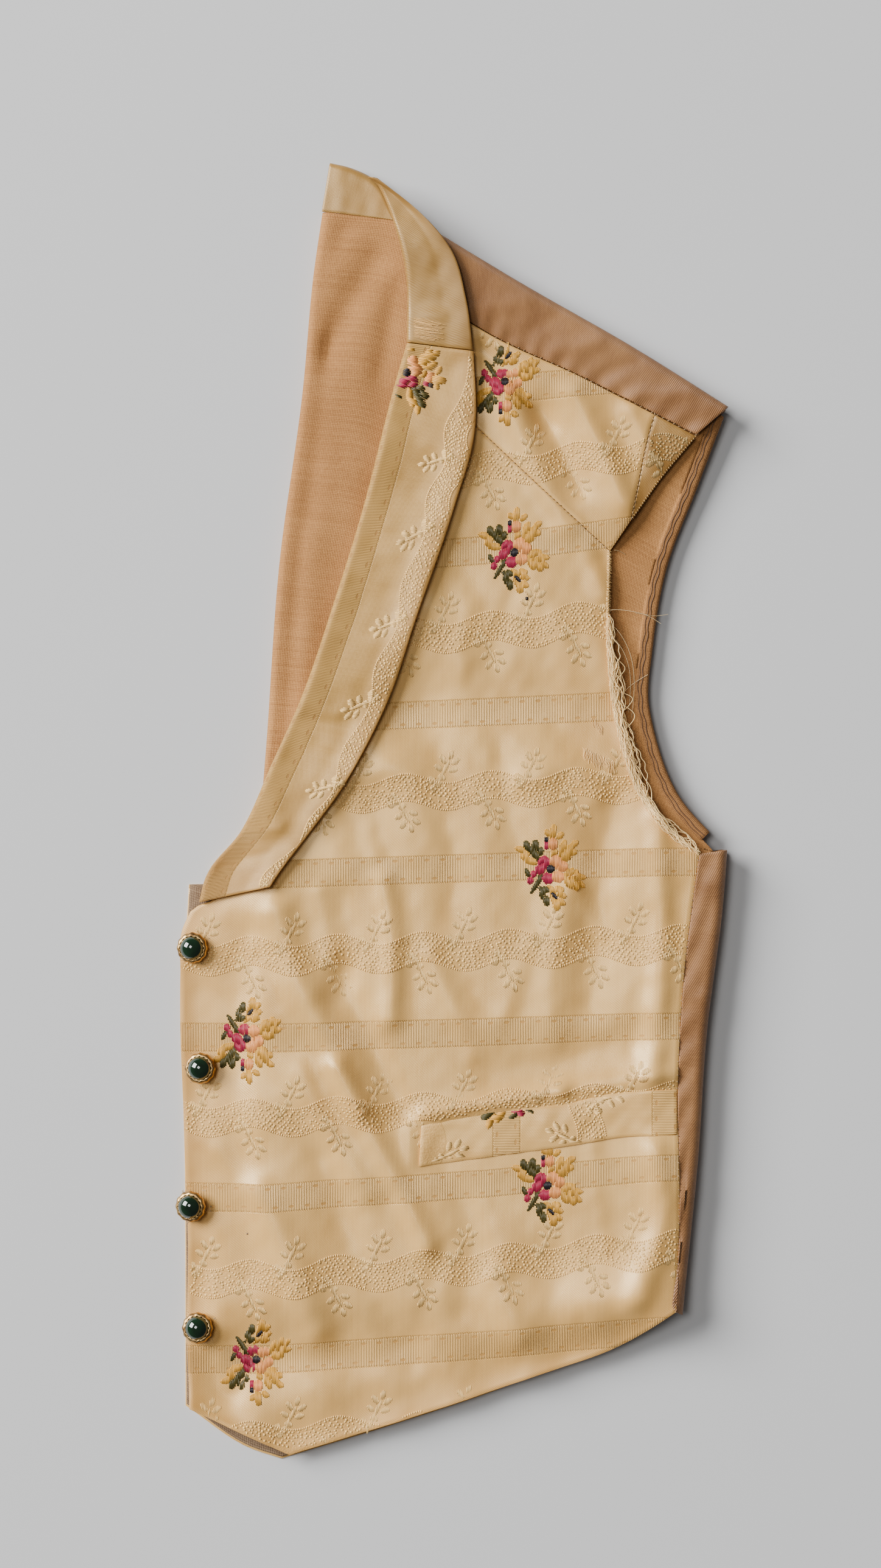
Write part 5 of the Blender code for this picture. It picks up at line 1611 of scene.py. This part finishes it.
# Sewing and wear: stitches along the piecing seams and the armhole, the frayed edge of the
# front armhole, worn floats, and the few loose threads that stand out from it.
def threads_tree():
    """Round threads along the edges of a mesh."""
    tree, given = node_tree(
        "round threads", {"Sides": ("Int", 5), "Radius": ("Float", 0.1 * MM), "Finish": ("Material", None)}
    )
    lines = plug(tree, "GeometryNodeMeshToCurve", {}, {"Mesh": given["Geometry"]})[0]
    inputs = {"Resolution": given["Sides"], "Radius": given["Radius"]}
    ring = plug(tree, "GeometryNodeCurvePrimitiveCircle", {}, inputs)[0]
    inputs = {"Curve": lines, "Profile Curve": ring, "Fill Caps": True}
    tubes = plug(tree, "GeometryNodeCurveToMesh", {}, inputs)[0]
    return finish_tree(tree, tubes, given["Finish"])


THREADS = threads_tree()
FRAYED = thread_finish("frayed silk", 0.55, 0.3)


def lay_threads(name, lines, radius, colour, seed, sides=5):
    """Round threads along lines of points in millimetres, all in one silk."""
    draw = np.random.default_rng(seed)
    points, edges, tones = [], [], []
    for line in lines:
        first = sum(len(one) for one in points)
        edges += [(first + k, first + k + 1) for k in range(len(line) - 1)]
        points.append(line)
        shade = np.array(colour) * draw.uniform(0.75, 1.15)
        tones.append(np.tile(shade, (len(line), 1)))
    mesh = with_values(name, np.concatenate(points), edges, tone=np.concatenate(tones))
    values = {"Sides": sides, "Radius": radius * MM, "Finish": FRAYED}
    piece = grown(name, mesh, THREADS, values)
    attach(piece, "root")


PALE_THREAD = (0.88, 0.57, 0.22)
FRAY_THREAD = (1.0, 0.70, 0.31)
DARK_THREAD = (0.12, 0.06, 0.03)
SEAM_THREAD = (0.30, 0.19, 0.09)
FRAY_COUNT, FRAY_TOP_Y, FRAY_RADIUS = 230, 64.0, 0.125
FRAY_LENGTHS, FRAY_WAVES = (7.0, 26.0), (3.5, 9.0)
FRAY_BULGE, FRAY_SWAY = (2.0, 0.75), 0.26
FRAY_FALL_REACH, FRAY_LOOSE = 12.0, 1.1
fray = smooth_line(FRONT_ARMHOLE, 220)
fray = fray[fray[:, 1] < FRAY_TOP_Y]
fray_step = np.linalg.norm(fray[1] - fray[0])
fray_out = -towards(fray, shifted(fray, 1.0))
draw = np.random.default_rng(7)
lines = []
for _ in range(FRAY_COUNT):
    count = int(draw.uniform(*FRAY_LENGTHS) / fray_step)
    start = draw.integers(0, len(fray) - count)
    part = slice(start, start + count)
    sweep = np.linspace(0.0, 1.0, count)
    bulge = draw.gamma(*FRAY_BULGE) * np.sin(math.pi * sweep) ** 0.7
    waves = count * fray_step / draw.uniform(*FRAY_WAVES)
    sway = FRAY_SWAY * np.sin(2 * math.pi * waves * sweep + draw.uniform(0.0, 6.0))
    reach = bulge + sway + draw.uniform(-0.7, 0.5)
    plan = fray[part] + reach[:, None] * fray_out[part]
    down = ease(reach / FRAY_FALL_REACH)
    height = (1.0 - down) * (front_top(fray[part]) + 0.1) + down * (lining_top(plan) + 1.0)
    lines.append(raised(plan, height + draw.uniform(0.0, FRAY_LOOSE)))
lay_threads("frayed_armhole", lines, FRAY_RADIUS, FRAY_THREAD, 71, 4)


class LooseThread(NamedTuple):
    """A thread end that left the cloth: where it starts, how far it goes, how high, how bent."""

    x: float
    y: float
    run_x: float
    run_y: float
    rise: float
    bend: float


LOOSE_THREADS = (
    LooseThread(49.8, 64.6, 12.5, -1.6, 1.2, 0.6), LooseThread(61.5, 63.2, 7.0, 0.2, 0.8, -0.5),
    LooseThread(58.0, 63.6, 8.2, -3.2, 0.5, 0.7), LooseThread(53.2, 29.0, 4.6, -4.0, 1.0, 0.4),
    LooseThread(53.0, 30.0, 9.0, 14.0, 0.6, 3.4), LooseThread(51.2, 83.8, 3.6, -1.2, 0.8, 0.3),
    LooseThread(55.4, 13.2, 3.0, 8.6, 0.7, 2.0), LooseThread(50.2, 60.0, 6.6, -30.0, 0.8, 4.0),
    LooseThread(50.4, 56.0, 5.4, -24.0, 0.9, 3.2),
)
lines = []
for thread in LOOSE_THREADS:
    sweep = np.linspace(0.0, 1.0, 18)[:, None]
    run = np.array((thread.run_x, thread.run_y))
    beside = np.array((-run[1], run[0])) / np.linalg.norm(run)
    arch = np.sin(math.pi * sweep**0.8)
    plan = np.array((thread.x, thread.y)) + sweep * run + thread.bend * arch * beside
    ground = np.maximum(lining_top(plan), 0.3)
    start_height = front_top(plan[:1])
    height = ground + (start_height - ground[0]) * (1.0 - sweep[:, 0]) ** 3 + thread.rise * arch[:, 0]
    lines.append(raised(plan, height + 0.2))
lay_threads("loose_threads", lines, 0.075, (0.88, 0.66, 0.36), 72, 4)


def worn_lines(x0, y0, run_x, run_y, step_x, step_y, count, sway, surface, seed):
    """Neighbouring worn floats, each a little bent. The steps lead from one to the next."""
    draw = np.random.default_rng(seed)
    lines = []
    for number in range(count):
        sweep = np.linspace(0.0, 1.0, 9)
        start = np.array((x0 + number * step_x, y0 + number * step_y)) + draw.normal(0, 0.18, 2)
        run = np.array((run_x, run_y)) * draw.uniform(0.55, 1.15)
        wave = sway * np.sin(sweep * 7.0 + 0.7 * number)
        beside = np.array((-run_y, run_x)) / math.hypot(run_x, run_y)
        plan = start + sweep[:, None] * run + wave[:, None] * beside
        lines.append(surface(plan) + (0.0, 0.0, 0.06) + np.outer(np.sin(math.pi * sweep), (0, 0, 0.25)))
    return lines


def over_front(plan):
    return raised(plan, front_top(plan))


lines = worn_lines(41.0, 20.6, 0.6, -4.4, 0.34, -0.16, 30, 0.22, over_front, 74)
lines += worn_lines(44.0, 30.0, 1.0, -3.4, 0.4, -0.3, 8, 0.15, over_front, 75)
lay_threads("worn_floats_front", lines, 0.1, PALE_THREAD, 76, 4)


def over_upper_collar(plan):
    """A point on the upper collar's fall, from the nearest of its grid's points."""
    grid = UPPER_FALL.reshape(-1, 3)
    gaps = np.linalg.norm(grid[None, :, :2] - plan[:, None], axis=-1)
    near = np.argsort(gaps, axis=1)[:, :3]
    pull = 1.0 / (np.take_along_axis(gaps, near, 1) + 0.05)
    height = (grid[near, 2] * pull).sum(axis=1) / pull.sum(axis=1)
    return raised(plan, height)


WORN_LIFT = 0.12
lines = worn_lines(-12.6, 151.6, 8.4, -1.6, -0.02, 0.27, 24, 0.06, over_upper_collar, 77)
lines = [line + (0.0, 0.0, WORN_LIFT) for line in lines]
lay_threads("worn_floats_collar", lines, 0.10, (0.86, 0.52, 0.18), 78, 4)

STITCH_WANDER, STITCH_TURN, STITCH_LIFT = 0.22, 0.9, 0.04
ARMHOLE_STITCH_INSETS = ((2.3, 0.17, DARK_THREAD), (3.3, 0.12, DARK_THREAD))
for number, (inset, radius, colour) in enumerate(ARMHOLE_STITCH_INSETS, 1):
    plan = shifted(ARMHOLE, -inset)
    wander = STITCH_WANDER * np.sin(np.arange(len(plan)) * STITCH_TURN + number)
    line = raised(plan + wander[:, None] * (1.0, 0.0), band_top(plan) + STITCH_LIFT)
    lay_threads(f"armhole_stitching_{number}", [line], radius, colour, 79)


def seam_rows(line, pitch, lean, width, length, height, colour, seed):
    """Small stitches along a seam in plan, leaning over it."""
    draw = np.random.default_rng(seed)
    reach = np.linalg.norm(np.diff(line, axis=0), axis=1).sum()
    places = evenly(line, int(reach / pitch))
    run = np.gradient(places, axis=0)
    angle = np.arctan2(-run[:, 0], run[:, 1]) + lean + draw.normal(0.0, 0.15, len(places))
    count = len(places)
    sizes = np.array((width, length, height)) * draw.uniform(0.8, 1.2, (count, 3))
    tones = np.array(colour) * draw.uniform(0.8, 1.2, (count, 1))
    return np.concatenate([places, sizes, angle[:, None], tones], axis=1)


SEAM_STITCHES = (
    (DIAGONAL_SEAM, 1.5, 0.35, 0.30, 0.9, 0.22, SEAM_THREAD),
    (CORNER_SEAM, 1.7, 0.35, 0.30, 0.9, 0.22, SEAM_THREAD),
    (SIDE_SEAM, 2.1, 0.9, 0.28, 0.8, 0.2, SEAM_THREAD),
    (SHOULDER_SEAM[1:], 1.9, 0.9, 0.28, 0.8, 0.2, SEAM_THREAD),
)
rows = [
    seam_rows(smooth_line(line, 200), *sizes, 120 + number)
    for number, (line, *sizes) in enumerate(SEAM_STITCHES)
]
EDGE_FUZZ = (
    (FRONT_ARMHOLE, 0.5, 1.2, 0.26, 1.5, 0.22),
    (UPPER_ARMHOLE_HIGH, 0.9, 1.2, 0.12, 0.7, 0.1),
)
rows += [
    seam_rows(smooth_line(line, 300), *sizes, PALE_THREAD, 130 + number)
    for number, (line, *sizes) in enumerate(EDGE_FUZZ)
]
SPOTS = (
    (23.1, 68.3, 1.1, 1.1, 0.3, 0.0, 0.03, 0.02, 0.015),
    (-66.6, -135.4, 0.7, 0.6, 0.1, 0.0, 0.2, 0.13, 0.08),
)
lay_floats("seam_stitches", np.concatenate([*rows, np.array(SPOTS)]), over_front)

# Four buttons: a gilt cup whose scalloped lip is folded over a domed green stone. Each
# hangs on a thread shank and leans its own way.
BUTTON_RADIUS, STONE_RADIUS, STONE_HEIGHT, CUP_HEIGHT = 5.0, 3.8, 3.4, 3.2
OUTER_LOBES, LIP_LOBES = 12, 16
AROUND = 96


class Button(NamedTuple):
    """One button: its place, its height over the cloth, and how far it leans."""

    x: float
    y: float
    rise: float
    lean_x: float
    lean_y: float


BUTTONS = (
    Button(-84.1, -43.6, 0.6, 3.0, -6.0), Button(-81.4, -82.4, 0.7, -2.0, -9.0),
    Button(-84.3, -126.5, 1.1, 4.0, -14.0), Button(-82.4, -165.8, 0.7, -4.0, -6.0),
)
# Columns: share of the radius, height, outer lobe depth, lip lobe depth
CUP_PROFILE = (
    (0.50, 0.0, 0.0, 0.0), (0.66, 0.25, 0.0, 0.0), (0.84, 0.80, 0.01, 0.0), (0.95, 1.5, 0.02, 0.0),
    (0.99, 2.05, 0.025, 0.0), (0.975, 2.6, 0.025, 0.0), (0.93, 3.0, 0.02, 0.0),
    (0.875, 3.25, 0.01, 0.01), (0.82, 3.36, 0.0, 0.02), (0.765, 3.38, 0.0, 0.035),
    (0.735, 3.26, 0.0, 0.045), (0.735, 2.95, 0.0, 0.04), (0.765, 2.6, 0.0, 0.02), (0.70, 2.3, 0.0, 0.0),
)
STONE_RINGS = 14


def gilt_finish():
    """Old gilt brass, dented, and dull and brown in uneven patches."""
    made = Finish("old gilt brass", metallic=1.0, roughness=0.3)
    place = made.node("TexCoord", {}, {}, "Object")
    millimetres = made.node("VectorMath", {"operation": "MULTIPLY"}, {0: place, 1: (1000.0,) * 3})
    dents = made.noise(millimetres, (1.1, 1.1, 0.8))
    dull = made.noise(millimetres, (2.6, 2.6, 2.0), 5.0)
    colour = made.mixed(dull.soft(0.35, 0.72), (0.64, 0.41, 0.16), (0.23, 0.12, 0.045))
    return made.done(colour, 0.12 * dents, 0.2 + 0.35 * dull)


def stone_finish():
    """Dark green glass, almost black, with clear green light painted in towards its foot, for light that
    shines through the glass.
    """
    made = Finish("dark green glass", roughness=0.05, coat_weight=1.0, coat_roughness=0.03)
    place = made.node("TexCoord", {}, {}, "Object")
    height = made.node("SeparateXYZ", {}, {0: place}, 2) * 1000.0
    cloud = made.noise(place, (0.003, 0.003, 0.003))
    painted_glow = (1.0 - height.soft(7.0, 12.0)) * 0.6 + 0.4 * cloud
    colour = made.mixed(painted_glow.soft(0.2, 0.9), (0.002, 0.004, 0.002), (0.006, 0.026, 0.009))
    return made.done(colour, None, 0.05 + 0.04 * cloud)


GILT, STONE = gilt_finish(), stone_finish()


def turned(name, rings, finish, button):
    """A closed turned piece from rings of radii and heights, set at its button's place."""
    angle = np.linspace(0.0, 2 * math.pi, AROUND, endpoint=False)
    points = [
        (r * math.cos(a), r * math.sin(a), h)
        for radii, h in rings for r, a in zip(radii, angle)
    ]
    index = np.arange(len(rings) * AROUND).reshape(len(rings), AROUND)
    after = np.roll(index, -1, axis=1)
    faces = np.stack([index[:-1], after[:-1], after[1:], index[1:]], axis=-1).reshape(-1, 4).tolist()
    faces += [index[0, ::-1].tolist(), index[-1].tolist()]
    mesh = bpy.data.meshes.new(name)
    turn = Euler((math.radians(button.lean_x), math.radians(button.lean_y), 0.0)).to_matrix()
    below = front_low(np.array((button.x, button.y))) + SILK_WALL + button.rise
    centre = Vector((button.x, button.y, below))
    mesh.from_pydata([tuple((centre + turn @ Vector(p)) * MM) for p in points], [], faces)
    mesh.shade_smooth()
    mesh.materials.append(finish)
    piece = bpy.data.objects.new(name, mesh)
    bpy.context.scene.collection.objects.link(piece)
    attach(piece, "root")
    return piece


angle = np.linspace(0.0, 2 * math.pi, AROUND, endpoint=False)
outer_wave, lip_wave = np.cos(OUTER_LOBES * angle), np.cos(LIP_LOBES * angle)
cup = [
    (BUTTON_RADIUS * (share + outer * outer_wave + lip * lip_wave), height)
    for share, height, outer, lip in CUP_PROFILE
]
dome_foot = CUP_HEIGHT - 0.9 + SEAM_GAP
stone = [(np.full(AROUND, 0.94 * STONE_RADIUS), dome_foot)]
for degrees in np.linspace(0.0, 87.0, STONE_RINGS):
    rise = 0.4 + (STONE_HEIGHT - 0.4) * math.sin(math.radians(degrees))
    stone.append((np.full(AROUND, STONE_RADIUS * math.cos(math.radians(degrees))), dome_foot + rise))
shank_lines = []
draw = np.random.default_rng(9)
for number, button in enumerate(BUTTONS, 1):
    piece = turned(f"button_{number}_gilt_cup", cup, GILT, button)
    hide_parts(f"button_{number}_mount")
    piece = turned(f"button_{number}_green_stone", stone, STONE, button)
    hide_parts(f"button_{number}_stone")
    for _ in range(26):
        way = draw.uniform(0.0, 2 * math.pi)
        sweep = np.linspace(1.2, draw.uniform(4.4, 6.4), 7)
        bend = way + 0.12 * draw.normal() * (sweep - 1.2)
        plan = np.stack([button.x + sweep * np.cos(bend), button.y + sweep * np.sin(bend)], axis=-1)
        line = raised(plan, front_top(plan) + 0.12 + 0.3 * np.sin(sweep))
        shank_lines.append(line[plan[:, 0] > -88.0])
shank_lines = [line for line in shank_lines if len(line) > 2]
lay_threads("button_shank_threads", shank_lines, 0.09, (0.50, 0.36, 0.20), 73, 4)

# The floor under it: a plain pale table top, and soft studio light from the upper left.
FLOOR_HALF = 3.0
FLOOR_GREY = (0.62, 0.62, 0.62)

floor_mesh = bpy.data.meshes.new("floor")
floor_mesh.from_pydata(
    [(-FLOOR_HALF, -FLOOR_HALF, 0), (FLOOR_HALF, -FLOOR_HALF, 0), (FLOOR_HALF, FLOOR_HALF, 0),
     (-FLOOR_HALF, FLOOR_HALF, 0)], [], [(0, 1, 2, 3)],
)
floor_mesh.materials.append(Finish("pale floor", roughness=0.7, base_color=(*FLOOR_GREY, 1.0)).material)
floor = bpy.data.objects.new("floor", floor_mesh)
bpy.context.scene.collection.objects.link(floor)


class Lamp(NamedTuple):
    """A soft light: its place in metres, its side and its power."""

    name: str
    place: tuple
    side: float
    watts: float


LAMPS = (
    Lamp("key", (-3.74, 1.83, 2.55), 2.8, 575.0),
    Lamp("overhead", (-1.05, 0.6, 3.8), 1.2, 50.0),
)
for lamp in LAMPS:
    data = bpy.data.lights.new(lamp.name, "AREA")
    data.shape = "SQUARE"
    data.size = lamp.side
    data.energy = lamp.watts
    placed = bpy.data.objects.new(lamp.name, data)
    placed.location = lamp.place
    placed.rotation_euler = (-Vector(lamp.place)).to_track_quat("-Z", "Y").to_euler()
    bpy.context.scene.collection.objects.link(placed)

WORLD_LIGHT = 0.09
world = bpy.data.worlds.new("studio")
world.use_nodes = True
world.node_tree.nodes["Background"].inputs[0].default_value = (1.0, 1.0, 1.0, 1.0)
world.node_tree.nodes["Background"].inputs[1].default_value = WORLD_LIGHT
bpy.context.scene.world = world
